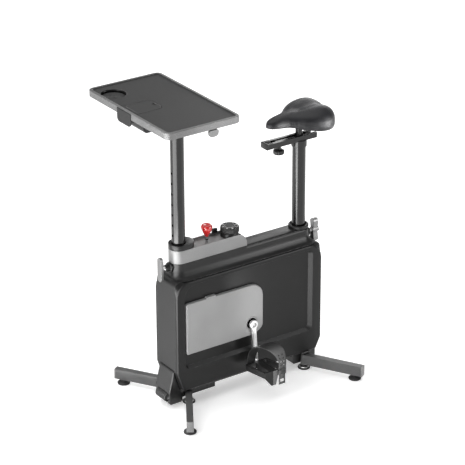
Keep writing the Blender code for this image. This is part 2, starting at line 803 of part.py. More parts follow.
def collars():
    """The dark collar of the desk post on the console, and the ring of the seat post on the neck."""
    low = CONSOLE_TOP + GAP
    front = -NECK_HALF_LENGTH
    rear = front + DESK_COLLAR_LENGTH
    outline = rectangle(front, rear, -NECK_RADIUS, NECK_RADIUS, 0.98 * NECK_RADIUS, steps=8)
    desk = piece("desk_post_collar", plate([outline], low, DESK_COLLAR_TOP, "Z"), BLACK_PLASTIC)
    soften(desk, COLLAR_EDGE, 2)
    cut(
        desk,
        rod((DESK_POST_X, 0, low - 0.01), (DESK_POST_X, 0, DESK_COLLAR_TOP + 0.01), SLEEVE_BORE, sides=TUBE_SIDES),
        rod(
            (DESK_POST_X, 0, DESK_COLLAR_TOP - COLLAR_EDGE),
            (DESK_POST_X, 0, DESK_COLLAR_TOP + COLLAR_EDGE),
            SLEEVE_BORE,
            SLEEVE_BORE + 2 * COLLAR_EDGE,
            sides=TUBE_SIDES,
        ),
    )
    top = SEAT_COLLAR_TOP
    low = NECK_TOP + GAP
    profile = [
        (SEAT_COLLAR_RADIUS - COLLAR_EDGE, top),
        (SEAT_COLLAR_RADIUS, top - COLLAR_EDGE),
        (SEAT_COLLAR_RADIUS, low),
        (SLEEVE_BORE, low),
        (SLEEVE_BORE, top - 2 * COLLAR_EDGE),
        (SLEEVE_BORE + COLLAR_EDGE, top - 2 * COLLAR_EDGE),
        (SLEEVE_BORE + 2 * COLLAR_EDGE, top),
    ]
    piece("seat_post_collar", turned(profile, (SEAT_POST_X, 0, 0), sides=TUBE_SIDES), BLACK_PLASTIC)


# Frame inside the body

def near_to_far(x, z, near, far, radius, sides=SMALL_SIDES):
    """A round bar across the bike."""
    return rod((x, near, z), (x, far, z), radius, sides=sides)


def main_frame():
    """Two full-height sleeves, a beam between them, the crank shell and the flywheel brackets."""
    reach = SLEEVE_WALL / 2
    front = DESK_POST_X + SLEEVE_RADIUS - reach
    rear = SEAT_POST_X - SLEEVE_RADIUS + reach
    half = BEAM_HALF_WIDTH
    frame = piece("main_frame", box((front, -half, BEAM_LOW), (rear, half, BEAM_HIGH)), BLACK_METAL)
    low = SLEEVE_LOW
    high = NECK_TOP - WALL - GAP
    for x in (DESK_POST_X, SEAT_POST_X):
        add(frame, plate([circle(x, 0, SLEEVE_RADIUS, TUBE_SIDES), circle(x, 0, SLEEVE_BORE, TUBE_SIDES)], low, high, "Z"))
    stay = STAY_HALF_LENGTH
    add(
        frame,
        box((CRANK_X - stay, -half, CRANK_Z), (CRANK_X + stay, SHELL_FAR - GAP, BEAM_LOW + reach)),
        near_to_far(CRANK_X, CRANK_Z, SHELL_NEAR, SHELL_FAR, SHELL_RADIUS, TUBE_SIDES),
    )
    bracket = rounded(
        [
            (FLYWHEEL_X - BRACKET_HALF_LENGTH, BEAM_LOW + reach, 0),
            (FLYWHEEL_X - BRACKET_HALF_LENGTH, FLYWHEEL_Z - BRACKET_HALF_LENGTH, BRACKET_HALF_LENGTH * 0.95),
            (FLYWHEEL_X + BRACKET_HALF_LENGTH, FLYWHEEL_Z - BRACKET_HALF_LENGTH, BRACKET_HALF_LENGTH * 0.95),
            (FLYWHEEL_X + BRACKET_HALF_LENGTH, BEAM_LOW + reach, 0),
        ]
    )
    for near in (-half, half - BRACKET_THICKNESS):
        add(frame, plate([bracket], near, near + BRACKET_THICKNESS, "Y"))
    pin_x, pin_z = MAGNET_PIVOT
    lug = MAGNET_PIN_RADIUS + 0.003
    low_corner = (pin_x - lug, MAGNET_LUG_NEAR, pin_z - lug)
    add(
        frame,
        box(low_corner, (pin_x + lug, MAGNET_LUG_NEAR + BRACKET_THICKNESS, BEAM_LOW + reach)),
        near_to_far(pin_x, pin_z, FLYWHEEL_NEAR, MAGNET_LUG_NEAR + reach, MAGNET_PIN_RADIUS - RUNNING, SMALL_SIDES),
    )
    cut(
        frame,
        near_to_far(CRANK_X, CRANK_Z, SHELL_NEAR - 0.01, SHELL_NEAR + BEARING_WIDTH, BEARING_RADIUS + GAP, TUBE_SIDES),
        near_to_far(CRANK_X, CRANK_Z, SHELL_FAR - BEARING_WIDTH, SHELL_FAR + 0.01, BEARING_RADIUS + GAP, TUBE_SIDES),
        near_to_far(CRANK_X, CRANK_Z, SHELL_NEAR - 0.01, SHELL_FAR + 0.01, CRANK_AXLE_RADIUS + 0.003, SMALL_SIDES),
        near_to_far(FLYWHEEL_X, FLYWHEEL_Z, -2 * half, 2 * half, FLYWHEEL_AXLE_RADIUS + GAP, SMALL_SIDES),
    )
    for x, radius in ((KNOB_X, BRAKE_ROD_RADIUS), (DIAL_X, DIAL_SHAFT_RADIUS)):
        cut(frame, rod((x, 0, BEAM_LOW - 0.01), (x, 0, BEAM_HIGH + 0.01), radius + RUNNING))
    for x, z in ((DESK_POST_X, DESK_PIN_Z), (SEAT_POST_X, SEAT_PIN_Z)):
        outward = math.copysign(2 * SLEEVE_RADIUS, x)
        cut(frame, rod((x, 0, z), (x + outward, 0, z), PIN_RADIUS + RUNNING))


def crank_bearings():
    for name, near in (("near_crank_bearing", SHELL_NEAR), ("far_crank_bearing", SHELL_FAR - BEARING_WIDTH)):
        ring = [
            circle(CRANK_X, CRANK_Z, BEARING_RADIUS, TUBE_SIDES),
            circle(CRANK_X, CRANK_Z, CRANK_AXLE_RADIUS + RUNNING, SMALL_SIDES),
        ]
        piece(name, plate(ring, near + GAP, near + BEARING_WIDTH - GAP, "Y"), STEEL)


# Drive

CRANK = (CRANK_X, 0, CRANK_Z)
FLYWHEEL = (FLYWHEEL_X, 0, FLYWHEEL_Z)


def crank_end(side):
    """Where a pedal spindle sits: the near one hangs, the far one is half a turn away."""
    out = side * CRANK_LENGTH
    return CRANK_X - out * math.sin(CRANK_LEAN), CRANK_Z + out * math.cos(CRANK_LEAN)


def pulley_profile(radius, bore):
    """A belt pulley: a rim between two lips, a thin web and a hub."""
    near, far = PULLEY_NEAR, PULLEY_FAR
    lip = PULLEY_FLANGE
    return [
        (radius + PULLEY_LIP, far),
        (radius + PULLEY_LIP, far - lip),
        (radius, far - lip),
        (radius, near + lip),
        (radius + PULLEY_LIP, near + lip),
        (radius + PULLEY_LIP, near),
        (bore, near),
        (bore, far),
    ]


def crank_group():
    reach = CRANK_INNER + CRANK_THICKNESS - 0.002
    axle = piece("crank_axle", near_to_far(CRANK_X, CRANK_Z, -reach, reach, CRANK_AXLE_RADIUS, SMALL_SIDES), STEEL, CRANK)
    add(axle, near_to_far(CRANK_X, CRANK_Z, PULLEY_FAR + GAP, PULLEY_FAR + 0.008, CRANK_AXLE_RADIUS + 0.004))
    pulley = turned(pulley_profile(PULLEY_RADIUS, CRANK_AXLE_RADIUS + GAP), CRANK, "Y", 28)
    wheel = piece("crank_pulley", pulley, BLACK_METAL, CRANK)
    for i in range(5):
        angle = math.tau * i / 5
        x = CRANK_X + 0.045 * math.cos(angle)
        z = CRANK_Z + 0.045 * math.sin(angle)
        cut(wheel, near_to_far(x, z, PULLEY_NEAR - 0.01, PULLEY_FAR + 0.01, 0.017, 10))
    for name, side in (("near", -1), ("far", 1)):
        end_x, end_z = crank_end(side)
        crank_arm(f"{name}_crank_arm", side, end_x, end_z)
        collar_end = PEDAL_INNER - STRAP_THICKNESS - 0.0015
        spindle = [
            (SPINDLE_RADIUS, CRANK_INNER + 0.001),
            (SPINDLE_RADIUS, CRANK_INNER + CRANK_THICKNESS + GAP),
            (SPINDLE_RADIUS + 0.003, CRANK_INNER + CRANK_THICKNESS + GAP),
            (SPINDLE_RADIUS + 0.003, collar_end),
            (SPINDLE_RADIUS, collar_end),
            (SPINDLE_RADIUS, PEDAL_OUTER - PEDAL_BAR - 0.002),
            (0, PEDAL_OUTER - PEDAL_BAR - 0.002),
        ]
        profile = [(0, CRANK_INNER + 0.001)] + spindle
        shape = turned([(r, side * h) for r, h in profile], (end_x, 0, end_z), "Y", SMALL_SIDES)
        piece(f"{name}_pedal_spindle", shape, STEEL, CRANK)


def crank_arm(name, side, end_x, end_z):
    """A forged arm that tapers from its round hub to its round eye."""
    hub, eye = CRANK_HUB_RADIUS, CRANK_HUB_RADIUS * 0.75
    along = math.atan2(end_z - CRANK_Z, end_x - CRANK_X)
    outline = []
    for x, z, radius, start in ((CRANK_X, CRANK_Z, hub, along + math.pi / 2), (end_x, end_z, eye, along - math.pi / 2)):
        for step in range(11):
            angle = start + math.pi * step / 10
            outline.append((x + radius * math.cos(angle), z + radius * math.sin(angle)))
    near, far = sorted((side * CRANK_INNER, side * (CRANK_INNER + CRANK_THICKNESS)))
    arm = piece(name, plate([outline], near, far, "Y"), STEEL, CRANK)
    soften(arm, 0.002, 1)
    face = side * (CRANK_INNER + CRANK_THICKNESS)
    cut(
        arm,
        near_to_far(CRANK_X, CRANK_Z, side * (CRANK_INNER - 0.01), face - side * 0.0015, CRANK_AXLE_RADIUS + GAP, SMALL_SIDES),
        near_to_far(CRANK_X, CRANK_Z, face - side * 0.003, face + side * 0.01, CRANK_HUB_RADIUS - 0.005, TUBE_SIDES),
        near_to_far(end_x, end_z, side * (CRANK_INNER - 0.01), face + side * 0.01, SPINDLE_RADIUS + GAP, SMALL_SIDES),
    )


def tangent_loop(extra):
    """The belt's outline round both pulleys, moved out by a distance."""
    big = PULLEY_RADIUS + extra
    small = FLYWHEEL_PULLEY_RADIUS + extra
    away = Vector((FLYWHEEL_X - CRANK_X, FLYWHEEL_Z - CRANK_Z))
    heading = math.atan2(away.y, away.x)
    spread = math.acos((big - small) / away.length)
    points = []
    for step in range(25):
        angle = heading + spread + (math.tau - 2 * spread) * step / 24
        points.append((CRANK_X + big * math.cos(angle), CRANK_Z + big * math.sin(angle)))
    for step in range(9):
        angle = heading - spread + 2 * spread * step / 8
        points.append((FLYWHEEL_X + small * math.cos(angle), FLYWHEEL_Z + small * math.sin(angle)))
    return points


def flywheel_group():
    near, rim, hub = FLYWHEEL_NEAR, FLYWHEEL_RADIUS, FLYWHEEL_HUB
    bore = FLYWHEEL_AXLE_RADIUS + RUNNING
    pulley = pulley_profile(FLYWHEEL_PULLEY_RADIUS, bore)[:6]
    inner = rim - 0.022
    web = 0.007
    profile = pulley + [
        (0.014, PULLEY_NEAR),
        (0.014, hub - web),
        (inner - 0.002, hub - web),
        (inner, hub),
        (rim - 0.002, hub),
        (rim, hub - 0.002),
        (rim, near + 0.002),
        (rim - 0.002, near),
        (inner, near),
        (inner - 0.002, near + web),
        (0.014, near + web),
        (0.014, near),
        (bore, near),
        (bore, PULLEY_FAR),
    ]
    piece("flywheel", turned(profile, FLYWHEEL, "Y", 28), GREY_METAL, FLYWHEEL)
    reach = BEAM_HALF_WIDTH + 0.004
    axle = near_to_far(FLYWHEEL_X, FLYWHEEL_Z, -reach, reach, FLYWHEEL_AXLE_RADIUS, SMALL_SIDES)
    axle = piece("flywheel_axle", axle, STEEL)
    for side in (-1, 1):
        seat = side * (BEAM_HALF_WIDTH + GAP)
        add(axle, near_to_far(FLYWHEEL_X, FLYWHEEL_Z, seat, side * (reach + 0.002), FLYWHEEL_AXLE_RADIUS + 0.004, 6))
    belt = [tangent_loop(GAP + BELT_THICKNESS), tangent_loop(GAP)]
    low = PULLEY_NEAR + PULLEY_FLANGE + GAP
    high = PULLEY_FAR - PULLEY_FLANGE - GAP
    piece("drive_belt", plate(belt, low, high, "Y"), RUBBER)


def magnet_carrier():
    """A curved shoe round the flywheel rim, on an arm that turns about a pin in the frame."""
    x, z = FLYWHEEL_X, FLYWHEEL_Z
    inner = FLYWHEEL_RADIUS + MAGNET_GAP
    outer = inner + MAGNET_THICKNESS
    points = []
    for radius, first, last in ((inner, 46, 86), (outer, 86, 58)):
        for step in range(7):
            angle = math.radians(first + (last - first) * step / 6)
            points.append((x + radius * math.cos(angle), z + radius * math.sin(angle)))
    pin_x, pin_z = MAGNET_PIVOT
    eye = MAGNET_PIN_RADIUS + 0.004
    for step in range(9):
        angle = math.radians(120 - 22.5 * step)
        points.append((pin_x + eye * math.cos(angle), pin_z + eye * math.sin(angle)))
    near, far = FLYWHEEL_NEAR + 0.002, MAGNET_LUG_NEAR - 0.0015
    hole = circle(pin_x, pin_z, MAGNET_PIN_RADIUS, SMALL_SIDES)
    piece("magnet_carrier", plate([points, hole], near, far, "Y"), GREY_METAL, (pin_x, 0, pin_z))


# Controls

def brake():
    """The red knob on its rod, which ends in a pad just over the flywheel rim."""
    at = (KNOB_X, 0, 0)
    high, low, radius = KNOB_HIGH, KNOB_LOW, KNOB_RADIUS
    seat = low + 0.006
    profile = [
        (0, high - 0.0015),
        (0.40 * radius, high),
        (0.74 * radius, high - 0.0015),
        (0.94 * radius, high - 0.0060),
        (radius, high - 0.0125),
        (0.93 * radius, high - 0.0195),
        (0.68 * radius, high - 0.0320),
        (0.42 * radius, high - 0.0450),
        (0.30 * radius, low),
        (BRAKE_ROD_RADIUS + GAP, low),
        (BRAKE_ROD_RADIUS + GAP, seat),
        (0, seat),
    ]
    piece("brake_knob", turned(profile, at, sides=TUBE_SIDES), RED_PLASTIC, (KNOB_X, 0, high))
    pad_low = FLYWHEEL_Z + FLYWHEEL_RADIUS + 0.0006 + BRAKE_TRAVEL
    top = rod((KNOB_X, 0, pad_low + 0.004), (KNOB_X, 0, seat - GAP), BRAKE_ROD_RADIUS)
    rod_piece = piece("brake_rod", top, STEEL, (KNOB_X, 0, high))
    half = BRAKE_PAD_SIZE / 2
    middle = (FLYWHEEL_NEAR + FLYWHEEL_HUB) / 2
    low_corner = (KNOB_X - half, middle - half, pad_low)
    add(rod_piece, box(low_corner, (KNOB_X + half, middle + half, pad_low + BRAKE_PAD_HEIGHT)))


def dial():
    """The round black seat in the console recess, with the block ahead of it, and the dial on its shaft."""
    half = NECK_RADIUS - CONSOLE_RIM - GAP
    low = CONSOLE_FLOOR + GAP
    high = low + DIAL_BASE_HEIGHT
    base = piece("dial_seat", rod((DIAL_X, 0, low), (DIAL_X, 0, high), half, sides=32), BLACK_PLASTIC)
    block_x = DIAL_X - BLOCK_AHEAD
    block_y = half - 0.002
    add(
        base,
        box((block_x, block_y - BLOCK_WIDTH, low), (block_x + BLOCK_LENGTH, block_y, low + BLOCK_HEIGHT)),
        box((block_x + 0.001, block_y - 0.007, low), (DIAL_X - 0.010, block_y - 0.002, low + 0.002)),
    )
    cut(base, rod((DIAL_X, 0, low - 0.01), (DIAL_X, 0, high + 0.01), DIAL_SHAFT_RADIUS + RUNNING))
    foot = high + GAP
    end = MAGNET_PIVOT[1] + MAGNET_PIN_RADIUS + 0.004 + 0.001
    profile = [
        (0, DIAL_TOP - 0.001),
        (DIAL_RADIUS - 0.0075, DIAL_TOP - 0.001),
        (DIAL_RADIUS - 0.006, DIAL_TOP),
        (DIAL_RADIUS - 0.003, DIAL_TOP - 0.001),
        (DIAL_RADIUS - 0.0015, DIAL_TOP - 0.004),
        (DIAL_RADIUS, foot + 0.002),
        (DIAL_RADIUS - 0.002, foot),
        (DIAL_SHAFT_RADIUS, foot),
        (DIAL_SHAFT_RADIUS, end),
        (0, end),
    ]
    knob = piece("resistance_dial", turned(profile, (DIAL_X, 0, 0), sides=32), BLACK_PLASTIC, (DIAL_X, 0, 0))
    pointer = (DIAL_X - DIAL_RADIUS + 0.001, -0.0015, DIAL_TOP - 0.002)
    add(knob, box(pointer, (DIAL_X - DIAL_RADIUS + 0.010, 0.0015, DIAL_TOP + 0.001)))


def pin_boss(name, side, x, z, flange, nose):
    """A black boss in the end of the neck, with a flange against it and a stepped nose."""
    inner = abs(x) + SLEEVE_RADIUS + GAP
    seat = NECK_HALF_LENGTH + 0.0005
    bore = PIN_RADIUS + RUNNING
    profile = [
        (BOSS_RADIUS, inner),
        (BOSS_RADIUS, seat),
        (BOSS_FLANGE_RADIUS, seat),
        (BOSS_FLANGE_RADIUS, seat + flange - 0.0015),
        (BOSS_FLANGE_RADIUS - 0.0015, seat + flange),
        (BOSS_NOSE_RADIUS, seat + flange),
        (BOSS_NOSE_RADIUS - 0.0015, seat + flange + nose),
        (bore, seat + flange + nose),
        (bore, inner),
    ]
    shape = turned([(r, side * h) for r, h in profile], (0, 0, z), "X", TUBE_SIDES)
    piece(name, shape, BLACK_PLASTIC)


def post_locks():
    """Sprung pins through the neck: a flat T handle in front, a two-lobed knob behind."""
    z = DESK_PIN_Z
    pin_boss("desk_pin_boss", -1, DESK_POST_X, z, DESK_BOSS_FLANGE, DESK_BOSS_NOSE)
    tip = DESK_POST_X - POST_RADIUS - RUNNING
    pin = rod((tip, 0, z), (-T_HANDLE_X - 0.004, 0, z), PIN_RADIUS)
    handle = piece("desk_pin_handle", pin, STEEL, (tip, 0, z))
    half_width, half_height = T_HANDLE_WIDTH / 2, T_HANDLE_HEIGHT / 2
    paddle = rectangle(-half_width, half_width, z - half_height, z + half_height, half_width * 0.9, steps=5)
    add(handle, plate([paddle], -T_HANDLE_X - T_HANDLE_THICKNESS, -T_HANDLE_X, "X"))
    z = SEAT_PIN_Z
    pin_boss("seat_pin_boss", 1, SEAT_POST_X, z, SEAT_BOSS_FLANGE, SEAT_BOSS_NOSE)
    tip = SEAT_POST_X + POST_RADIUS + RUNNING
    pin = rod((tip, 0, z), (LOBE_X + 0.004, 0, z), PIN_RADIUS)
    knob = piece("seat_pin_handle", pin, STEEL, (tip, 0, z))
    lobe_centre = LOBE_HEIGHT / 2 - LOBE_RADIUS
    outline = []
    for middle, start in ((z + lobe_centre, 0), (z - lobe_centre, math.pi)):
        for step in range(11):
            angle = start - math.radians(25) + math.radians(230) * step / 10
            outline.append((LOBE_RADIUS * math.cos(angle), middle + LOBE_RADIUS * math.sin(angle)))
        waist = 0.55 * LOBE_RADIUS
        outline.append((-waist if start == 0 else waist, z))
    add(
        knob,
        plate([outline], LOBE_X, LOBE_X + LOBE_THICKNESS, "X"),
        rod((LOBE_X - 0.002, 0, z), (LOBE_X + LOBE_THICKNESS + 0.006, 0, z), 0.012, 0.010),
    )


# Posts

def post(name, x, low, high, pin_z, holes_up, holes_down):
    """A round tube with a row of height holes that face away from the middle."""
    ring = [circle(x, 0, POST_RADIUS, TUBE_SIDES), circle(x, 0, POST_RADIUS - POST_WALL, TUBE_SIDES)]
    tube = piece(name, plate(ring, low, high, "Z"), BLACK_METAL, (x, 0, pin_z))
    wall = math.copysign(POST_RADIUS + 0.005, x)
    inside = math.copysign(POST_RADIUS - 0.010, x)
    for i in range(-holes_down, holes_up + 1):
        z = pin_z + i * HOLE_PITCH
        cut(tube, rod((x + inside, 0, z), (x + wall, 0, z), HOLE_RADIUS, sides=10))


# Seat rail and saddle

def seat_rail():
    """A square channel with a slot in its top, welded on a short cup over the post."""
    half, wall = RAIL_HALF_WIDTH, RAIL_WALL
    slot = RAIL_SLOT_HALF_WIDTH
    low, high = RAIL_LOW, RAIL_HIGH
    channel = [
        (-half, low),
        (half, low),
        (half, high),
        (slot, high),
        (slot, high - wall),
        (half - wall, high - wall),
        (half - wall, low + wall),
        (wall - half, low + wall),
        (wall - half, high - wall),
        (-slot, high - wall),
        (-slot, high),
        (-half, high),
    ]
    pivot = (SEAT_POST_X, 0, SEAT_PIN_Z)
    rail = piece("seat_rail", plate([channel], RAIL_FRONT, RAIL_REAR, "X"), BLACK_METAL, pivot)
    cup_top = (SEAT_POST_X, 0, low + wall / 2)
    add(rail, rod((SEAT_POST_X, 0, low - RAIL_CUP_DEPTH), cup_top, POST_RADIUS + RAIL_CUP_WALL, sides=TUBE_SIDES))
    post_top = (SEAT_POST_X, 0, SEAT_POST_HIGH + GAP)
    cut(rail, rod((SEAT_POST_X, 0, low - RAIL_CUP_DEPTH - 0.008), post_top, POST_RADIUS + GAP, sides=TUBE_SIDES))
    screw = SLIDER_KNOB_SCREW + 0.0015
    slot_front = SLIDER_KNOB_X + SADDLE_TRAVEL_FRONT - screw
    slot_rear = SLIDER_KNOB_X + SADDLE_TRAVEL_REAR + screw
    outline = rectangle(slot_front, slot_rear, -screw, screw, screw * 0.95, steps=4)
    cut(rail, plate([outline], low - 0.01, low + 2 * wall - 0.001, "Z"))
    cap = rectangle(-half - 0.0015, half + 0.0015, low - 0.0015, high + 0.0015, 0.004, steps=3)
    front = RAIL_FRONT - GAP
    end = piece("rail_end_cap", plate([cap], front - RAIL_CAP, front, "X"), BLACK_PLASTIC, pivot)
    soften(end, 0.0015, 2)
    plug = wall + GAP
    add(end, box((front - 0.001, plug - half, low + plug), (front + RAIL_PLUG, half - plug, high - plug)))


def saddle_slider():
    """The block that slides in the rail, and the stem that carries the saddle."""
    plug = RAIL_WALL + RUNNING
    half = RAIL_HALF_WIDTH
    pivot = (STEM_X, 0, RAIL_HIGH)
    body = box((SLIDER_FRONT, plug - half, RAIL_LOW + plug), (SLIDER_REAR, half - plug, RAIL_HIGH - plug))
    slider = piece("saddle_slider", body, BLACK_METAL, pivot)
    neck = RAIL_SLOT_HALF_WIDTH - RUNNING
    add(
        slider,
        box((STEM_X - 0.014, -neck, RAIL_HIGH - plug - 0.002), (STEM_X + 0.014, neck, RAIL_HIGH + 0.006)),
        rod((STEM_X, 0, RAIL_HIGH + 0.003), (STEM_X, 0, STEM_TOP), STEM_RADIUS, sides=TUBE_SIDES),
        rod((STEM_X, 0, STEM_TOP - 0.012), (STEM_X, 0, STEM_TOP), STEM_RADIUS + STEM_FLANGE, sides=TUBE_SIDES),
    )
    knob_radius = SLIDER_KNOB_RADIUS
    screw_top = RAIL_LOW + plug + 0.008
    cut(slider, rod((SLIDER_KNOB_X, 0, RAIL_LOW), (SLIDER_KNOB_X, 0, screw_top + GAP), SLIDER_KNOB_SCREW + GAP))
    low, high = SLIDER_KNOB_LOW, SLIDER_KNOB_HIGH
    profile = [
        (0, screw_top),
        (SLIDER_KNOB_SCREW, screw_top),
        (SLIDER_KNOB_SCREW, RAIL_LOW - GAP),
        (0.011, RAIL_LOW - GAP),
        (0.011, high),
        (knob_radius - 0.002, high),
        (knob_radius, high - 0.002),
        (knob_radius, low + 0.003),
        (knob_radius - 0.003, low),
        (0, low),
    ]
    knob = turned(profile, (SLIDER_KNOB_X, 0, 0), sides=TUBE_SIDES)
    knob = piece("slider_knob", knob, BLACK_PLASTIC, (SLIDER_KNOB_X, 0, low))
    for i in range(8):
        angle = math.tau * (i + 0.5) / 8
        x = SLIDER_KNOB_X + (knob_radius + 0.002) * math.cos(angle)
        y = (knob_radius + 0.002) * math.sin(angle)
        cut(knob, rod((x, y, low - 0.005), (x, y, high + 0.005), 0.0035, sides=10))


def saddle_width(t):
    """Half the saddle's width, from nose (0) to tail (1)."""
    nose = 0.030 * math.sqrt(min(1.0, t / 0.10)) if t < 0.10 else 0.030 + 0.010 * (t - 0.10)
    wing = 1 / (1 + math.exp(-(t - 0.52) / 0.075))
    tail = math.sqrt(max(0.0, 1 - ((t - 0.72) / 0.28) ** 2)) if t > 0.72 else 1.0
    return nose * (1 - wing) + SADDLE_HALF_WIDTH * wing * (0.25 + 0.75 * tail)


def saddle_crown(t):
    """The height of the saddle's spine above its base, low at the nose and raised at the tail."""
    full = SADDLE_TOP - SADDLE_BASE
    nose = 0.30 + 0.38 * min(1.0, t / 0.18) ** 0.6
    lift = 0.32 / (1 + math.exp(-(t - 0.55) / 0.10))
    tail = 1 - 0.42 * max(0.0, (t - 0.80) / 0.20) ** 2
    return full * (nose + lift) * tail


def saddle_section(t):
    """A closed section across the saddle: a flat underside, skirts that hang at the wings, a dished crown."""
    half = max(0.004, saddle_width(t))
    crown = saddle_crown(t)
    x = SADDLE_NOSE + SADDLE_LENGTH * t
    skirt = SADDLE_SKIRT * (0.15 + 0.85 / (1 + math.exp(-(t - 0.50) / 0.08)))
    dip = 0.05 if t > 0.5 else 0
    side = [
        (0.60, 0.00, 0.0),
        (0.70, 0.00, 0.0),
        (0.80, 0.00, 1.0),
        (0.94, 0.02, 1.0),
        (1.00, 0.26, 0.4),
        (0.96, 0.56, 0.0),
        (0.78, 0.86, 0.0),
        (0.42, 1.00, 0.0),
    ]
    far = [(x, a * half, SADDLE_BASE + b * crown - c * skirt) for a, b, c in side]
    near = [(x, -y, z) for _, y, z in reversed(far)]
    spine = (x, 0, SADDLE_BASE + (1 - dip) * crown)
    return [(x, 0, SADDLE_BASE)] + far + [spine] + near


def shell_section(t):
    """A section of the moulded base, between the skirts of the cushion."""
    half = SADDLE_SHELL_SHARE * saddle_width(t)
    x = SADDLE_NOSE + SADDLE_LENGTH * t
    top = SADDLE_BASE - GAP
    low = top - SADDLE_SHELL
    return [(x, half, top), (x, -half, top), (x, 0.002 - half, low), (x, half - 0.002, low)]


def saddle():
    """The cushion: a narrow nose that opens into two wings, on a moulded base."""
    pivot = (STEM_X, 0, RAIL_HIGH)
    stations = [0, 0.03, 0.10, 0.24, 0.38, 0.48, 0.58, 0.70, 0.82, 0.92, 0.975, 1.0]
    cushion = piece("saddle", loft([saddle_section(t) for t in stations]), LEATHER, pivot)
    smooth = cushion.modifiers.new("round", "SUBSURF")
    smooth.levels = smooth.render_levels = 1
    stations = [0.08, 0.16, 0.26, 0.40, 0.50, 0.60, 0.72, 0.84, 0.91]
    piece("saddle_base", loft([shell_section(t) for t in stations]), BLACK_PLASTIC, pivot)


# Pedals

def pedal(name, side):
    """A caged platform round a barrel, with a weighted outer plate that keeps it level."""
    x, z = crank_end(side)
    pivot = (x, 0, z)
    half, high = PEDAL_LENGTH / 2, PEDAL_HEIGHT / 2
    inner, outer, bar = PEDAL_INNER, PEDAL_OUTER, PEDAL_BAR
    barrel = SPINDLE_RADIUS + 0.005
    middle = (inner + outer) / 2

    def edge(offset, y):
        return x + offset + PEDAL_SKEW * (y - middle)

    def slanted(front, rear, near, far, radius, straight):
        """A four-cornered outline: front and rear follow the pedal's slant, unless the barrel's straight side bounds them."""
        corners = [(front, near), (rear, near), (rear, far), (front, far)]
        return [(x + a if a == straight else edge(a, y), y, radius) for a, y in corners]

    strip = barrel + 0.004
    outline = rounded(slanted(-half, half, inner, outer, 0.006, None), steps=3)
    windows = [
        rounded(slanted(bar - half, -strip, inner + bar, outer - bar, 0.004, -strip), steps=2),
        rounded(slanted(strip, half - bar, inner + bar, outer - bar, 0.004, strip), steps=2),
    ]
    cage = plate([outline], z - high, z + high, "Z")
    windows = [plate([window], z - 2 * high, z + 2 * high, "Z") for window in windows]
    proud = PEDAL_PROUD
    top, low = z + high + proud, z - high - PEDAL_WEIGHT_DROP
    front, rear = x - PEDAL_WEIGHT_FRONT, x + PEDAL_WEIGHT_REAR
    weight = [(front, top), (front, z - high), (x - 0.010, low), (x + 0.010, low), (rear, z - high), (rear, top)]
    end = plate([weight], outer - bar + proud, outer + proud, "Y")
    teeth = []
    for a in (0.004 - half, half - 0.007):
        tooth = slanted(a, a + 0.003, inner + 0.012, outer - 0.012, 0, None)
        teeth.append(plate([rounded(tooth)], z + high - 0.001, z + high + 0.0015, "Z"))
    bore = near_to_far(x, z, inner - 0.01, outer - bar - 0.001, SPINDLE_RADIUS + RUNNING, SMALL_SIDES)
    if side < 0:
        cage, end, bore = mirrored(cage), mirrored(end), mirrored(bore)
        teeth = [mirrored(tooth) for tooth in teeth]
        windows = [mirrored(window) for window in windows]
    body = piece(name, cage, BLACK_PLASTIC, pivot)
    cut(body, bore, *windows)
    add(body, end, *teeth)


def strap_edge(edge, share):
    """How far behind the spindle an edge of the strap lies, from the inner foot (0) over the top to the outer (1)."""
    inner, top, outer = edge
    return (1 - share) * (1 - 2 * share) * inner + 4 * share * (1 - share) * top + share * (2 * share - 1) * outer


def toe_strap(name, side):
    """An arch over the pedal, wide over the foot and narrow at its ends, with a notch, a buckle and a slotted tab."""
    x, z = crank_end(side)
    inner = PEDAL_INNER - GAP - STRAP_THICKNESS
    outer = PEDAL_OUTER + PEDAL_PROUD + GAP + STRAP_THICKNESS
    middle = (inner + outer) / 2
    half = (outer - inner) / 2
    rise = STRAP_HEIGHT - STRAP_STRAIGHT
    points = [(outer, z + STRAP_FOOT)]
    for step in range(15):
        angle = math.pi * step / 14
        points.append((middle + half * math.cos(angle), z + STRAP_STRAIGHT + rise * math.sin(angle)))
    points += [(inner, z + STRAP_FOOT), (inner + STRAP_THICKNESS, z + STRAP_FOOT)]
    half -= STRAP_THICKNESS
    rise -= STRAP_THICKNESS
    for step in range(15):
        angle = math.pi - math.pi * step / 14
        points.append((middle + half * math.cos(angle), z + STRAP_STRAIGHT + rise * math.sin(angle)))
    points.append((outer - STRAP_THICKNESS, z + STRAP_FOOT))
    arch = plate([points], 0, 1, "X")
    for corner in arch.vertices:
        share = min(1, max(0, (corner.co.y - inner) / (outer - inner)))
        front, rear = strap_edge(STRAP_FRONT_EDGE, share), strap_edge(STRAP_REAR_EDGE, share)
        corner.co.x = x + front + (rear - front) * corner.co.x + STRAP_LEAN * max(0, corner.co.z - z)
    rear = x + STRAP_REAR_EDGE[2]
    face = outer - STRAP_THICKNESS / 2
    buckle = box((rear - TAB_WIDTH - 0.001, face, z - 0.008), (rear - 0.001, outer + 0.009, z + 0.010))
    tab = box((rear - TAB_WIDTH, face, z + TAB_LOW), (rear - 0.002, outer + 0.0015, z))
    slot = box((rear - TAB_WIDTH + 0.006, face - 0.01, z + TAB_LOW + 0.010), (rear - 0.008, outer + 0.01, z + TAB_LOW + 0.021))
    notch = near_to_far(x, z, inner - 0.004, inner + 0.008, SPINDLE_RADIUS + 0.0035, SMALL_SIDES)
    if side < 0:
        arch, buckle, tab = mirrored(arch), mirrored(buckle), mirrored(tab)
        slot, notch = mirrored(slot), mirrored(notch)
    strap = piece(name, arch, RUBBER, (x, 0, z))
    add(strap, buckle, tab)
    cut(strap, slot, notch)


# Base and legs

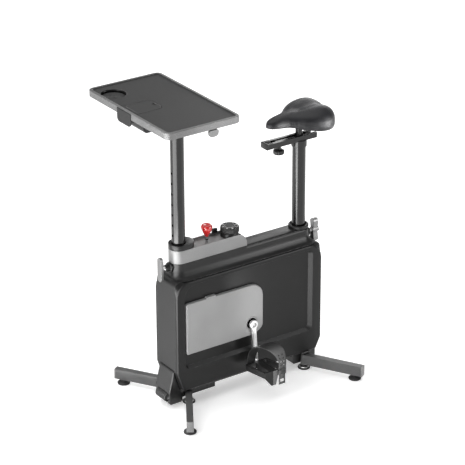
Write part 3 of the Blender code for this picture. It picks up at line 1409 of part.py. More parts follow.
def base_rail():
    """The base plate with the flared toe, the centre beam, the rear block and the pivot ears."""
    top = BODY_BOTTOM - GAP
    length, width = BASE_HALF_LENGTH, BASE_HALF_WIDTH
    rail = piece("base_rail", box((-length, -width, BASE_PLATE_LOW), (length, width, top)), BLACK_PLASTIC)
    front = -BODY_LENGTH / 2 - 2 * GAP
    side_view = rounded(
        [
            (front, TOE_TOP, 0),
            (TOE_FRONT, TOE_BREAK, TOE_SHIN_RADIUS),
            (TOE_FRONT, TOE_BOTTOM, TOE_EDGE),
            (TOE_REAR, TOE_BOTTOM, TOE_EDGE),
            (TOE_REAR, top, 0),
            (front + FRONT_CUT, top, 0),
            (front, FRONT_CUT_HEIGHT, 0),
        ],
        steps=4,
    )
    toe = plate([side_view], -TOE_HALF_WIDTH, TOE_HALF_WIDTH, "Y")
    foot = box((TOE_REAR - 0.01, -BEAM_FOOT_HALF_WIDTH, TOE_BOTTOM), (BEAM_FOOT_REAR, BEAM_FOOT_HALF_WIDTH, top - 0.002))
    block = rounded(
        [
            (REAR_BLOCK_FRONT, TOE_BOTTOM, TOE_EDGE),
            (REAR_BLOCK_REAR, TOE_BOTTOM, 2 * TOE_EDGE),
            (REAR_BLOCK_REAR, top, 0),
            (REAR_BLOCK_FRONT, top, 0),
        ],
        steps=3,
    )
    block = plate([block], -REAR_BLOCK_HALF_WIDTH, REAR_BLOCK_HALF_WIDTH, "Y")
    pivot_x, pivot_y = REAR_PIVOT
    ear = pivot_y + LEG_WIDTH / 2 - 0.001
    ears = box((pivot_x - 0.016, -ear, BASE_PLATE_LOW), (pivot_x + 0.016, ear, top - 0.001))
    add(rail, toe, foot, block, ears)
    inner = ROLLER_HALF_WIDTH + 0.001
    for side in (-1, 1):
        near, far = sorted((side * inner, side * (TOE_HALF_WIDTH - 0.005)))
        add(rail, near_to_far(ROLLER_X, ROLLER_Z, near, far, ROLLER_EAR_RADIUS, SMALL_SIDES))
    notch_rear = ROLLER_X + ROLLER_RADIUS + 0.002
    notch_top = ROLLER_Z + ROLLER_RADIUS + 0.002
    cut(rail, box((TOE_FRONT - 0.02, -inner, 0), (notch_rear, inner, notch_top)))
    for side in (-1, 1):
        near, far = sorted((side * (inner - 0.010), side * (inner + 0.004)))
        add(rail, near_to_far(ROLLER_X, ROLLER_Z, near, far, ROLLER_PIN_RADIUS, SMALL_SIDES))


def transport_roller():
    half, radius, groove = ROLLER_HALF_WIDTH, ROLLER_RADIUS, 0.0015
    ribs = 4
    pitch = 2 * half / ribs
    bore = ROLLER_PIN_RADIUS + RUNNING
    profile = []
    for i in range(ribs):
        top = half - i * pitch
        profile += [
            (radius - groove, top),
            (radius, top - groove),
            (radius, top - pitch + groove),
            (radius - groove, top - pitch),
        ]
    profile = [point for i, point in enumerate(profile) if i == 0 or point != profile[i - 1]]
    profile += [(bore, -half), (bore, half)]
    at = (ROLLER_X, 0, ROLLER_Z)
    piece("transport_roller", turned(profile, at, "Y", SMALL_SIDES), RUBBER, at)


def disc_foot(at):
    """A levelling disc with a chamfered edge and a stem up to the leg."""
    x, y = at
    low, high = FOOT_HEIGHT, LEG_LOW - GAP
    profile = [
        (0, high),
        (FOOT_STEM_RADIUS, high),
        (FOOT_STEM_RADIUS, low + 0.003),
        (FOOT_RADIUS - 0.006, low),
        (FOOT_RADIUS, low - 0.003),
        (FOOT_RADIUS, 0.001),
        (FOOT_RADIUS - 0.001, 0),
        (0, 0),
    ]
    return turned(profile, (x, y, 0), sides=18)


def leg(end, front, side):
    """A fold-out leg: a hollow bar on its pivot bolt, with a foot under its outer end."""
    x, y = FRONT_PIVOT if front else REAR_PIVOT
    y *= side
    length = FRONT_LEG_LENGTH if front else REAR_LEG_LENGTH
    angle = (FRONT_LEG_ANGLE if front else REAR_LEG_ANGLE) * side
    half = LEG_WIDTH / 2
    low, high = LEG_LOW, LEG_LOW + LEG_HEIGHT

    def bar(inset):
        corners = [
            (x - half + inset, y - half + inset, (half - inset) * 0.95),
            (x + length + LEG_END - inset, y - half + inset, LEG_CORNER),
            (x + length + LEG_END - inset, y + half - inset, LEG_CORNER),
            (x - half + inset, y + half - inset, (half - inset) * 0.95),
        ]
        outline = plate([rounded(corners, 4)], low + inset, high - inset, "Z")
        return spun(outline, (x, y, 0), "Z", angle)

    tube = piece(f"{end}_leg", bar(0), GREY_METAL, (x, y, low))
    soften(tube, 0.0025, 1)
    cut(tube, bar(0.003))
    cut(tube, rod((x, y, low - 0.01), (x, y, high + 0.01), PIVOT_BOLT_RADIUS + RUNNING))
    foot_x = x + length * math.cos(angle)
    foot_y = y + length * math.sin(angle)
    piece(f"{end}_leg_foot", disc_foot((foot_x, foot_y)), RUBBER, (x, y, low))
    top = BASE_PLATE_LOW - GAP
    pivot = piece(f"{end}_pivot_foot", disc_foot((x, y)), RUBBER)
    add(
        pivot,
        rod((x, y, low - 0.004), (x, y, top), PIVOT_BOLT_RADIUS),
        rod((x, y, high + GAP), (x, y, top), PIVOT_BOLT_RADIUS + 0.004),
    )
    return max(vertex.co.x + x for vertex in tube.data.vertices)


# Tray

def tray():
    pivot = (DESK_POST_X, 0, TILT_Z)
    outer = (TRAY_FRONT, TRAY_REAR, -TRAY_HALF_WIDTH, TRAY_HALF_WIDTH)

    def drawn_in(inset):
        a, b, c, d = outer
        corner = max(TRAY_CORNER - inset, TRAY_LEAST_CORNER)
        return rectangle(a + inset, b - inset, c + inset, d - inset, corner, steps=4)

    low = TRAY_TOP - TRAY_RIM_HEIGHT
    edge = 0.0015
    sections = []
    for inset, z in ((edge, low), (0, low + edge), (0, TRAY_TOP - edge), (edge, TRAY_TOP)):
        sections.append([(a, b, z) for a, b in drawn_in(inset)])
    frame = piece("tray_frame", loft(sections), SILVER_PAINT, pivot)
    cut(
        frame,
        plate([drawn_in(TRAY_RIM_WIDTH)], TRAY_FLOOR - GAP, TRAY_TOP + 0.01, "Z"),
        plate([drawn_in(TRAY_LEDGE)], low - 0.01, TRAY_FLOOR + 0.002, "Z"),
    )
    notch = (TRAY_FRONT - 0.01, PLATE_NEAR - GAP, low - 0.01)
    cut(frame, box(notch, (TRAY_FRONT + PLATE_PROUD, PLATE_FAR + GAP, TRAY_TOP - 0.003)))

    panel = piece("tray_panel", plate([drawn_in(TRAY_RIM_WIDTH + GAP)], TRAY_FLOOR, TRAY_SURFACE, "Z"), TRAY_SKIN, pivot)
    under = TRAY_SURFACE - PANEL_SKIN
    edge = TRAY_RIM_WIDTH + PANEL_RIB
    split = BOX_REAR + PANEL_RIB
    pockets = [
        (TRAY_FRONT + edge, split - PANEL_RIB, edge - TRAY_HALF_WIDTH, STAND_NEAR - 2 * PANEL_RIB),
        (split, TRAY_REAR - edge, edge - TRAY_HALF_WIDTH, STAND_NEAR - 2 * PANEL_RIB),
        (split, TRAY_REAR - edge, STAND_FAR + 2 * PANEL_RIB, TRAY_HALF_WIDTH - edge),
    ]
    for a, b, c, d in pockets:
        cut(panel, plate([rectangle(a, b, c, d, 0.006, steps=2)], TRAY_FLOOR - 0.01, under, "Z"))
    pin_x = STAND_FRONT + STAND_THICKNESS / 2
    pin_slot = STAND_THICKNESS / 2 - 0.0002
    cut(
        panel,
        rod((CUP_X, CUP_Y, TRAY_SURFACE - CUP_DEPTH), (CUP_X, CUP_Y, TRAY_SURFACE + 0.01), CUP_RADIUS, sides=32),
        plate([stand_outline(0.001)], TRAY_SURFACE - STAND_THICKNESS - 0.0008, TRAY_SURFACE + 0.01, "Z"),
        box(
            (pin_x - pin_slot, STAND_NEAR - STAND_PIN_LENGTH - 2 * GAP, TRAY_SURFACE - STAND_THICKNESS),
            (pin_x + pin_slot, STAND_FAR + STAND_PIN_LENGTH + 2 * GAP, TRAY_SURFACE + 0.01),
        ),
    )


def stand_outline(spread):
    """The tablet stand seen from above: square at its hinge, rounded at its free end."""
    front = STAND_FRONT - spread
    rear = STAND_REAR + spread
    near, far = STAND_NEAR - spread, STAND_FAR + spread
    return rounded([(front, near, 0), (rear, near, 0.030), (rear, far, 0.030), (front, far, 0)], steps=5)


def tablet_stand():
    low, high = TRAY_SURFACE - STAND_THICKNESS, TRAY_SURFACE
    half = STAND_THICKNESS / 2
    axis = (STAND_FRONT + half, 0, low + half)
    flap = piece("tablet_stand", plate([stand_outline(0)], low, high, "Z"), TRAY_SKIN, axis)
    nose = box((STAND_FRONT - 0.01, STAND_NEAR - 0.01, low - 0.01), (axis[0], STAND_FAR + 0.01, high + 0.01))
    cut(flap, nose)
    add(
        flap,
        near_to_far(axis[0], axis[2], STAND_NEAR, STAND_FAR, half - 0.00005, SMALL_SIDES),
        near_to_far(axis[0], axis[2], STAND_NEAR - STAND_PIN_LENGTH, STAND_FAR + STAND_PIN_LENGTH, half - 0.0006, 12),
    )
    grip_x = STAND_REAR - 0.012
    cut(flap, rod((grip_x, 0.0075, high - 0.002), (grip_x, 0.0075, high + 0.01), 0.008))


def tray_support():
    """The black box under the tray, with its front plate and two lugs on the tilt rod."""
    pivot = (DESK_POST_X, 0, TILT_Z)
    top = TRAY_FLOOR - GAP
    side_view = rounded(
        [
            (BOX_FRONT, BOX_LOW, 0.016),
            (BOX_REAR, BOX_LOW, 0.006),
            (BOX_REAR, top, 0),
            (BOX_FRONT, top, 0),
        ],
        steps=4,
    )
    support = piece("tray_support", plate([side_view], BOX_NEAR, BOX_FAR, "Y"), BLACK_PLASTIC, pivot)
    plate_top = TRAY_TOP - 0.003 - GAP
    outline = rounded(
        [
            (PLATE_NEAR, PLATE_LOW, 0.014),
            (PLATE_FAR, PLATE_LOW, 0.014),
            (PLATE_FAR, plate_top, 0),
            (PLATE_NEAR, plate_top, 0),
        ]
    )
    proud = PLATE_PROUD
    shelf_high = TRAY_TOP - TRAY_RIM_HEIGHT - 2 * GAP
    shelf = (TRAY_FRONT, PLATE_NEAR + 0.001, PLATE_LOW + 0.015)
    add(
        support,
        plate([outline], TRAY_FRONT - proud, TRAY_FRONT + proud - GAP, "X"),
        box(shelf, (BOX_FRONT + 0.002, PLATE_FAR - 0.001, shelf_high)),
    )
    inset = WALL
    low_corner = (BOX_FRONT + inset, BOX_NEAR + inset, BOX_LOW + inset)
    cut(support, box(low_corner, (BOX_REAR - inset, BOX_FAR - inset, top + 0.01)))
    radius = LUG_RADIUS
    for side in (-1, 1):
        near, far = sorted((side * LUG_INNER, side * (LUG_INNER + LUG_THICKNESS)))
        lug = rounded(
            [
                (BOX_REAR - inset / 2, TILT_Z - radius, 0),
                (DESK_POST_X + radius, TILT_Z - radius, 0.95 * radius),
                (DESK_POST_X + radius, TILT_Z + radius, 0.95 * radius),
                (BOX_REAR - inset / 2, TILT_Z + radius, 0),
            ]
        )
        hole = circle(DESK_POST_X, TILT_Z, TILT_ROD_RADIUS + RUNNING, SMALL_SIDES)
        add(support, plate([lug, hole], near, far, "Y"))


def tray_bracket():
    """A cup over the post's head with two cheeks that hold the tilt rod."""
    pivot = (DESK_POST_X, 0, DESK_PIN_Z)
    cup = POST_RADIUS + 0.004
    top = DESK_POST_HIGH + 0.006
    bracket = piece("tray_bracket", rod((DESK_POST_X, 0, BOX_LOW), (DESK_POST_X, 0, top), cup, sides=TUBE_SIDES), BLACK_METAL, pivot)
    radius = LUG_RADIUS + 0.001
    inner = LUG_INNER + LUG_THICKNESS + 0.0005
    for side in (-1, 1):
        near, far = sorted((side * inner, side * (inner + CHEEK_THICKNESS)))
        cheek = rounded(
            [
                (DESK_POST_X - radius, BOX_LOW + 0.004, 0),
                (DESK_POST_X + radius, BOX_LOW + 0.004, 0),
                (DESK_POST_X + radius, TILT_Z + radius, 0.95 * radius),
                (DESK_POST_X - radius, TILT_Z + radius, 0.95 * radius),
            ]
        )
        hole = circle(DESK_POST_X, TILT_Z, TILT_ROD_RADIUS + RUNNING, SMALL_SIDES)
        add(bracket, plate([cheek, hole], near, far, "Y"))
    cut(bracket, rod((DESK_POST_X, 0, BOX_LOW - 0.01), (DESK_POST_X, 0, DESK_POST_HIGH + GAP), POST_RADIUS + GAP, sides=TUBE_SIDES))


def tray_lever():
    """A silver paddle under the near edge of the tray, on the long tilt rod."""
    pivot = (DESK_POST_X, 0, TILT_Z)
    end = LUG_INNER + LUG_THICKNESS + CHEEK_THICKNESS + 0.004
    outer = LEVER_OUTER
    rod_mesh = near_to_far(DESK_POST_X, TILT_Z, LEVER_THICKNESS / 2 - outer, end, TILT_ROD_RADIUS, SMALL_SIDES)
    lever = piece("tray_lever", rod_mesh, SILVER_PAINT, pivot)
    outline = rounded(
        [
            (LEVER_FRONT, LEVER_LOW, 0.014),
            (LEVER_REAR, LEVER_LOW, 0.014),
            (LEVER_REAR, LEVER_HIGH, 0.006),
            (LEVER_FRONT, LEVER_HIGH, 0.006),
        ],
        steps=4,
    )
    add(lever, plate([outline], -outer, LEVER_THICKNESS - outer, "Y"))


# Assembly

centre_housing()
side_panel("near_side_panel", -1)
side_panel("far_side_panel", 1)
near_side_cover()
console()
collars()
main_frame()
crank_bearings()
crank_group()
flywheel_group()
magnet_carrier()
brake()
dial()
post_locks()
post("desk_post", DESK_POST_X, DESK_POST_LOW, DESK_POST_HIGH, DESK_PIN_Z, DESK_HOLES_UP, 1)
post("seat_post", SEAT_POST_X, SEAT_POST_LOW, SEAT_POST_HIGH, SEAT_PIN_Z, SEAT_HOLES_UP, 3)
seat_rail()
saddle_slider()
saddle()
for name, side in (("near", -1), ("far", 1)):
    pedal(f"{name}_pedal", side)
    toe_strap(f"{name}_toe_strap", side)
base_rail()
transport_roller()
reach = 0
for name, side in (("near", -1), ("far", 1)):
    leg(f"{name}_front", True, side)
    reach = leg(f"{name}_rear", False, side)
tray()
tablet_stand()
tray_support()
tray_bracket()
tray_lever()

# The middle of the whole bike stands over the origin
rear_end = max(reach, SADDLE_NOSE + SADDLE_LENGTH)
BIKE.location.x = -(TRAY_FRONT - PLATE_PROUD + rear_end) / 2
bpy.context.scene.collection.children.link(PARTS)
bpy.context.scene.collection.children.link(CUTTERS)
CUTTERS.hide_render = True
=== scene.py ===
import math

import bmesh
import bpy
from mathutils import Matrix, Vector
from mathutils.bvhtree import BVHTree


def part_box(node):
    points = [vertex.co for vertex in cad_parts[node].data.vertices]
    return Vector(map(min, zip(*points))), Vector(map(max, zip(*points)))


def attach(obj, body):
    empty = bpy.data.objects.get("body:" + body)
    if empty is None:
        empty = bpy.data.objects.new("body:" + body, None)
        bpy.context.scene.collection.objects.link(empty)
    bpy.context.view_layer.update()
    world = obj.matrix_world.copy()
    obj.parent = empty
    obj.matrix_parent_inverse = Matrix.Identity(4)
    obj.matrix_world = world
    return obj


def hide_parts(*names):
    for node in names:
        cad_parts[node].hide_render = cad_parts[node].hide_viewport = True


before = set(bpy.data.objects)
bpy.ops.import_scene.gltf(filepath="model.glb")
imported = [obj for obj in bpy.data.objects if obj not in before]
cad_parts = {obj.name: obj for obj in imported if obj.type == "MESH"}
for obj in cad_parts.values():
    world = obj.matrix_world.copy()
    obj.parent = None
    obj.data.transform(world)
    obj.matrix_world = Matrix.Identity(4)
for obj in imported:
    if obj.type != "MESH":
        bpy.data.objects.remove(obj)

scene = bpy.context.scene
for startup in ("Cube", "Light", "Camera"):
    if startup in bpy.data.objects:
        bpy.data.objects.remove(bpy.data.objects[startup])
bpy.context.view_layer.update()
weldGap = 0.000005
bothSides = (("near", -1), ("far", 1))
print("frame loaded with", len(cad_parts), "nodes")


class Wire:
    # One output socket, so that shader maths reads as plain Python
    def __init__(self, finish, socket):
        self.finish = finish
        self.socket = socket

    def maths(self, operation, first, second):
        return self.finish.node("ShaderNodeMath", {"operation": operation}, {0: first, 1: second})

    def __add__(self, other):
        return self.maths("ADD", self, other)

    def __radd__(self, other):
        return self.maths("ADD", other, self)

    def __sub__(self, other):
        return self.maths("SUBTRACT", self, other)

    def __rsub__(self, other):
        return self.maths("SUBTRACT", other, self)

    def __mul__(self, other):
        return self.maths("MULTIPLY", self, other)

    def between(self, low, high):
        # Runs smoothly from 0 to 1 while the value goes from low to high
        spread = {"Value": self, "From Min": low, "From Max": high}
        return self.finish.node("ShaderNodeMapRange", {"interpolation_type": "SMOOTHSTEP"}, spread)


class Finish:
    # One material: its Principled shader, and the method that adds every other node
    def __init__(self, name, **shader):
        self.material = bpy.data.materials.new(name)
        self.material.use_nodes = True
        self.tree = self.material.node_tree
        self.shader = self.tree.nodes["Principled BSDF"]
        for socket, value in shader.items():
            self.shader.inputs[socket.replace("_", " ")].default_value = value
        self.place = self.node("ShaderNodeTexCoord", output="Object")

    def node(self, kind, settings=None, sockets=None, output=0):
        made = self.tree.nodes.new(kind)
        for name, value in (settings or {}).items():
            setattr(made, name, value)
        for name, value in (sockets or {}).items():
            if isinstance(value, Wire):
                self.tree.links.new(value.socket, made.inputs[name])
            else:
                made.inputs[name].default_value = value
        return Wire(self, made.outputs[output])

    def feed(self, socket, wire):
        self.tree.links.new(wire.socket, self.shader.inputs[socket])

    def noise(self, scale, detail=2.0, rough=0.5, where=None):
        sockets = {"Vector": where or self.place, "Scale": scale, "Detail": detail, "Roughness": rough}
        return self.node("ShaderNodeTexNoise", None, sockets)

    def cells(self, scale, feature="F1", where=None, output="Distance"):
        sockets = {"Vector": where or self.place, "Scale": scale}
        return self.node("ShaderNodeTexVoronoi", {"feature": feature}, sockets, output)

    def stretched(self, across, along, up):
        # Object coordinates drawn out, for brushed and turned marks
        return self.node("ShaderNodeMapping", None, {"Vector": self.place, "Scale": (across, along, up)})

    def mix(self, share, first, second):
        # Two colours, of which a plain number is a grey
        first, second = (tone(each) if isinstance(each, float) else each for each in (first, second))
        sockets = {0: share, 6: first, 7: second}
        return self.node("ShaderNodeMix", {"data_type": "RGBA"}, sockets, 2)

    def edges(self, radius, sharpness=6.0):
        # 1 on an outer or inner edge, 0 on a flat face
        soft = self.rounded(radius)
        plain = self.node("ShaderNodeNewGeometry", output="Normal")
        turned = self.node("ShaderNodeVectorMath", {"operation": "DOT_PRODUCT"}, {0: soft, 1: plain}, "Value")
        return ((1 - turned) * sharpness).between(0.0, 1.0)

    def rounded(self, radius):
        return self.node("ShaderNodeBevel", {"samples": 4}, {"Radius": radius})

    def bump(self, height, distance, strength=1.0, normal=None):
        sockets = {"Height": height, "Distance": distance, "Strength": strength}
        if normal is not None:
            sockets["Normal"] = normal
        return self.node("ShaderNodeBump", None, sockets)


def tone(level, blue=0.0):
    # A grey of this linear level, a touch cooler where blue is given
    return (level, level, level * (1 + blue), 1.0)


print("shader tools ready")


def moulded(name, look):
    # Moulded or sheet plastic: fine spark grain, faint flow marks, and paler edges that are partly handling
    # wear and partly a painted highlight
    finish = Finish(name, IOR=1.47, Specular_IOR_Level=look.get("gloss", 0.3))
    cloud = finish.noise(look["cloud"], 3.0, 0.6)
    spark = finish.noise(look["grain"], 4.0, 0.65)
    speck = finish.cells(look["grain"] * 0.7)
    # Edge mask: rubbing wear, and on the paler finishes a painted highlight along the edges
    rubAndShine = finish.edges(look["edge"]) * finish.noise(38.0, 3.0, 0.7).between(0.42, 0.66)
    base = finish.mix(cloud.between(0.3, 0.7), look["dark"], look["light"])
    finish.feed("Base Color", finish.mix(rubAndShine * look["rubShineShare"], base, look["rubAndShine"]))
    dull = look["rough"] + (cloud - 0.5) * 0.16 + (spark - 0.5) * 0.12 - rubAndShine * 0.08
    finish.feed("Roughness", dull)
    relief = spark * 0.6 + speck * 0.4
    soft = finish.rounded(look["edge"])
    finish.feed("Normal", finish.bump(relief, look["depth"], look.get("strength", 0.5), soft))
    return finish


def enamelled(name, look):
    # Painted metal: fine orange peel, dust-fine flake, and paler edges that are partly rubbed wear and partly
    # a painted highlight
    finish = Finish(name, Metallic=look["metal"], IOR=1.5, Specular_IOR_Level=look.get("gloss", 0.5))
    cloud = finish.noise(look["cloud"], 2.0, 0.5)
    peel = finish.noise(look["peel"], 1.0, 0.4)
    flake = finish.cells(look["flake"], output="Color")
    glint = finish.node("ShaderNodeSeparateColor", None, {"Color": flake})
    # Edge mask: rubbing wear, and on the paler finishes a painted highlight along the edges
    rubAndShine = finish.edges(look["edge"]) * finish.noise(55.0, 4.0, 0.7).between(0.5, 0.72)
    base = finish.mix(cloud.between(0.25, 0.75), look["dark"], look["light"])
    base = finish.mix(glint.between(0.86, 0.99) * look["glint"], base, look["rubAndShine"])
    finish.feed("Base Color", finish.mix(rubAndShine * look["rubShineShare"], base, look["rubAndShine"]))
    finish.feed("Roughness", look["rough"] + (cloud - 0.5) * 0.12 + (glint - 0.5) * 0.06)
    soft = finish.rounded(look["edge"])
    finish.feed("Normal", finish.bump(peel, look["depth"], 0.4, soft))
    return finish


def machined(name, look):
    # Bare metal: brushed along one way, with faint handling marks
    finish = Finish(name, Metallic=1.0)
    brushed = finish.noise(1.0, 3.0, 0.7, finish.stretched(*look["brush"]))
    smear = finish.noise(26.0, 4.0, 0.6)
    base = finish.mix(brushed, look["dark"], look["light"])
    finish.feed("Base Color", finish.mix(smear.between(0.52, 0.75) * 0.35, base, look["dark"]))
    finish.feed("Roughness", look["rough"] + (brushed - 0.5) * 0.12 + smear.between(0.45, 0.8) * 0.1)
    finish.feed("Normal", finish.bump(brushed, look["depth"], 0.35, finish.rounded(look["edge"])))
    return finish


def grippy(name, look):
    # Rubber: dull, with a fine pebble, greyed where its edges rub
    finish = Finish(name, IOR=1.45, Specular_IOR_Level=0.35)
    pebble = finish.cells(look["grain"], "SMOOTH_F1")
    cloud = finish.noise(look["cloud"], 4.0, 0.7)
    scuff = finish.edges(look["edge"]) * finish.noise(70.0, 3.0, 0.6).between(0.4, 0.7)
    base = finish.mix(cloud.between(0.35, 0.7), look["dark"], look["light"])
    finish.feed("Base Color", finish.mix(scuff * look["rubShineShare"], base, look["rubAndShine"]))
    finish.feed("Roughness", look["rough"] + (cloud - 0.5) * 0.18)
    finish.feed("Normal", finish.bump(pebble, look["depth"], 0.5, finish.rounded(look["edge"])))
    return finish


mouldedBlack = moulded("mouldedBlack", {
    "dark": 0.009, "light": 0.013, "rubAndShine": 0.04, "rubShineShare": 0.5, "edge": 0.0012,
    "rough": 0.36, "gloss": 0.32, "cloud": 9.0, "grain": 950.0, "depth": 0.00012})
# Its pale edge tone is a painted highlight along the housing's edges, on top of some wear
shellGrey = moulded("shellGrey", {
    "dark": 0.014, "light": 0.018, "rubAndShine": 0.11, "rubShineShare": 0.8, "edge": 0.0024,
    "rough": 0.33, "gloss": 0.30, "cloud": 6.0, "grain": 800.0, "depth": 0.00012})
toeBlack = moulded("toeBlack", {
    "dark": 0.012, "light": 0.016, "rubAndShine": 0.05, "rubShineShare": 0.3, "edge": 0.0075,
    "rough": 0.30, "gloss": 0.5, "cloud": 6.0, "grain": 800.0, "depth": 0.00010})
# Its pale edge tone is a painted highlight along the recess and ledge edges, on top of some wear
panelBlack = moulded("panelBlack", {
    "dark": 0.007, "light": 0.010, "rubAndShine": 0.11, "rubShineShare": 0.8, "edge": 0.0022,
    "rough": 0.38, "gloss": 0.26, "cloud": 5.0, "grain": 700.0, "depth": 0.00014})
pianoBlack = moulded("pianoBlack", {
    "dark": 0.008, "light": 0.011, "rubAndShine": 0.03, "rubShineShare": 0.3, "edge": 0.0008,
    "rough": 0.16, "cloud": 12.0, "grain": 1500.0, "depth": 0.00002})
traySkin = moulded("traySkin", {
    "dark": 0.030, "light": 0.037, "rubAndShine": 0.07, "rubShineShare": 0.4, "edge": 0.0010,
    "rough": 0.52, "cloud": 5.0, "grain": 520.0, "depth": 0.00030, "strength": 0.8})
silverGrain = {"cloud": 7.0, "peel": 420.0, "flake": 2600.0, "glint": 0.35, "depth": 0.00006}
silverPaint = enamelled("silverPaint", {
    **silverGrain, "dark": 0.25, "light": 0.29, "rubAndShine": 0.55, "rubShineShare": 0.4,
    "edge": 0.0012, "metal": 0.15, "rough": 0.42})
# Its bright edge tone is a painted highlight along the tray rim's top edges, on top of some wear
rimSilver = enamelled("rimSilver", {
    **silverGrain, "dark": 0.15, "light": 0.19, "rubAndShine": 0.75, "rubShineShare": 1.0,
    "edge": 0.0018, "metal": 0.45, "rough": 0.38})
coverSilver = enamelled("coverSilver", {
    **silverGrain, "dark": 0.31, "light": 0.35, "rubAndShine": 0.60, "rubShineShare": 0.4,
    "edge": 0.0022, "metal": 0.10, "rough": 0.55, "gloss": 0.3, "glint": 0.3})
darkSteel = machined("darkSteel", {
    "dark": 0.18, "light": 0.25, "rough": 0.36, "brush": (90.0, 220.0, 18.0),
    "edge": 0.0010, "depth": 0.00003})
postEnamel = enamelled("postEnamel", {
    "dark": 0.006, "light": 0.009, "rubAndShine": 0.12, "rubShineShare": 0.12, "edge": 0.0007,
    "metal": 0.0, "rough": 0.18, "gloss": 0.42, "cloud": 14.0, "peel": 480.0, "flake": 2200.0, "glint": 0.05,
    "depth": 0.00005})
legGrey = enamelled("legGrey", {
    "dark": 0.068, "light": 0.082, "rubAndShine": 0.26, "rubShineShare": 0.4, "edge": 0.0011,
    "metal": 0.0, "rough": 0.42, "gloss": 0.35, "cloud": 16.0, "peel": 520.0, "flake": 2400.0, "glint": 0.2,
    "depth": 0.00006})
ironCasting = enamelled("ironCasting", {
    "dark": 0.09, "light": 0.14, "rubAndShine": 0.3, "rubShineShare": 0.5, "edge": 0.0015,
    "metal": 0.7, "rough": 0.45, "cloud": 30.0, "peel": 260.0, "flake": 900.0, "glint": 0.2,
    "depth": 0.0002})
brightSteel = machined("brightSteel", {
    "dark": 0.60, "light": 0.72, "rough": 0.28, "brush": (160.0, 160.0, 14.0),
    "edge": 0.0010, "depth": 0.00003})
armSteel = machined("armSteel", {
    "dark": 0.66, "light": 0.76, "rough": 0.30, "brush": (60.0, 60.0, 12.0),
    "edge": 0.0008, "depth": 0.00002})
turnedSteel = machined("turnedSteel", {
    "dark": 0.46, "light": 0.62, "rough": 0.22, "brush": (40.0, 600.0, 40.0),
    "edge": 0.0006, "depth": 0.00002})
treadRubber = grippy("treadRubber", {
    "dark": 0.014, "light": 0.021, "rubAndShine": 0.05, "rubShineShare": 0.6, "edge": 0.0010,
    "rough": 0.58, "cloud": 24.0, "grain": 900.0, "depth": 0.00012})
strapRubber = grippy("strapRubber", {
    "dark": 0.010, "light": 0.015, "rubAndShine": 0.10, "rubShineShare": 0.8, "edge": 0.0010,
    "rough": 0.50, "cloud": 30.0, "grain": 1300.0, "depth": 0.00008})


def glossRedFinish():
    # Glossy dyed plastic, faintly cloudy, with a clear coat
    finish = Finish("glossRed", Coat_Weight=0.6, Coat_Roughness=0.05, IOR=1.5)
    cloud = finish.noise(90.0, 2.0, 0.5)
    fine = finish.noise(700.0, 2.0, 0.5)
    finish.feed("Base Color", finish.mix(cloud, (0.62, 0.010, 0.012, 1), (0.72, 0.018, 0.016, 1)))
    finish.feed("Roughness", 0.16 + cloud * 0.06)
    finish.feed("Normal", finish.bump(fine, 0.00003, 0.3, finish.rounded(0.0006)))
    return finish


def saddleVinylFinish():
    # Coated cover: leather cells between fine creases, and a soft sheen
    finish = Finish("saddleVinyl", IOR=1.48, Specular_IOR_Level=0.32, Sheen_Weight=0.02)
    bent = finish.node("ShaderNodeVectorMath", {"operation": "MULTIPLY_ADD"}, {
        0: finish.node("ShaderNodeTexNoise", None, {
            "Vector": finish.place, "Scale": 180.0, "Detail": 2.0}, "Color"),
        1: (0.0022, 0.0022, 0.0022), 2: finish.place})
    grain = finish.cells(620.0, "DISTANCE_TO_EDGE", bent)
    cells = grain.between(0.02, 0.22)
    cloud = finish.noise(11.0, 3.0, 0.6)
    base = finish.mix(cloud.between(0.3, 0.7), tone(0.0050, 0.45), tone(0.0075, 0.50))
    finish.feed("Base Color", finish.mix((1 - cells) * 0.5, base, tone(0.006, 0.05)))
    finish.feed("Roughness", 0.33 + (1 - cells) * 0.14 + (cloud - 0.5) * 0.14)
    finish.feed("Normal", finish.bump(cells, 0.00014, 0.55))
    return finish


glossRed = glossRedFinish()
saddleVinyl = saddleVinylFinish()
dialPrint = moulded("dialPrint", {
    "dark": 0.62, "light": 0.72, "rubAndShine": 0.4, "rubShineShare": 0.4, "edge": 0.0002,
    "rough": 0.45, "cloud": 90.0, "grain": 1800.0, "depth": 0.00002})
print("finishes mixed")

# The record's slots, and what each is finished with
slotFinish = {
    "black_plastic": mouldedBlack, "dark_panel": panelBlack, "silver_paint": silverPaint,
    "tray_skin": traySkin, "black_metal": postEnamel, "grey_metal": legGrey,
    "steel": brightSteel, "red_plastic": glossRed, "rubber": treadRubber,
    "saddle_cover": saddleVinyl}
# The slot that each finish of a new piece belongs to
pieceSlot = {finish: slot for slot, finish in slotFinish.items()}
pieceSlot.update({
    pianoBlack: "black_plastic", rimSilver: "silver_paint", dialPrint: "silver_paint",
    armSteel: "steel", darkSteel: "steel", strapRubber: "rubber"})
# Nodes that differ from their slot
nodeFinish = {
    "centre_housing": shellGrey, "flywheel": ironCasting, "magnet_carrier": ironCasting,
    "crank_axle": turnedSteel, "brake_rod": turnedSteel,
    "near_pedal_spindle": turnedSteel, "far_pedal_spindle": turnedSteel,
    "base_rail": toeBlack, "tray_frame": rimSilver, "near_side_cover": coverSilver,
    "desk_pin_handle": darkSteel, "seat_pin_handle": darkSteel}


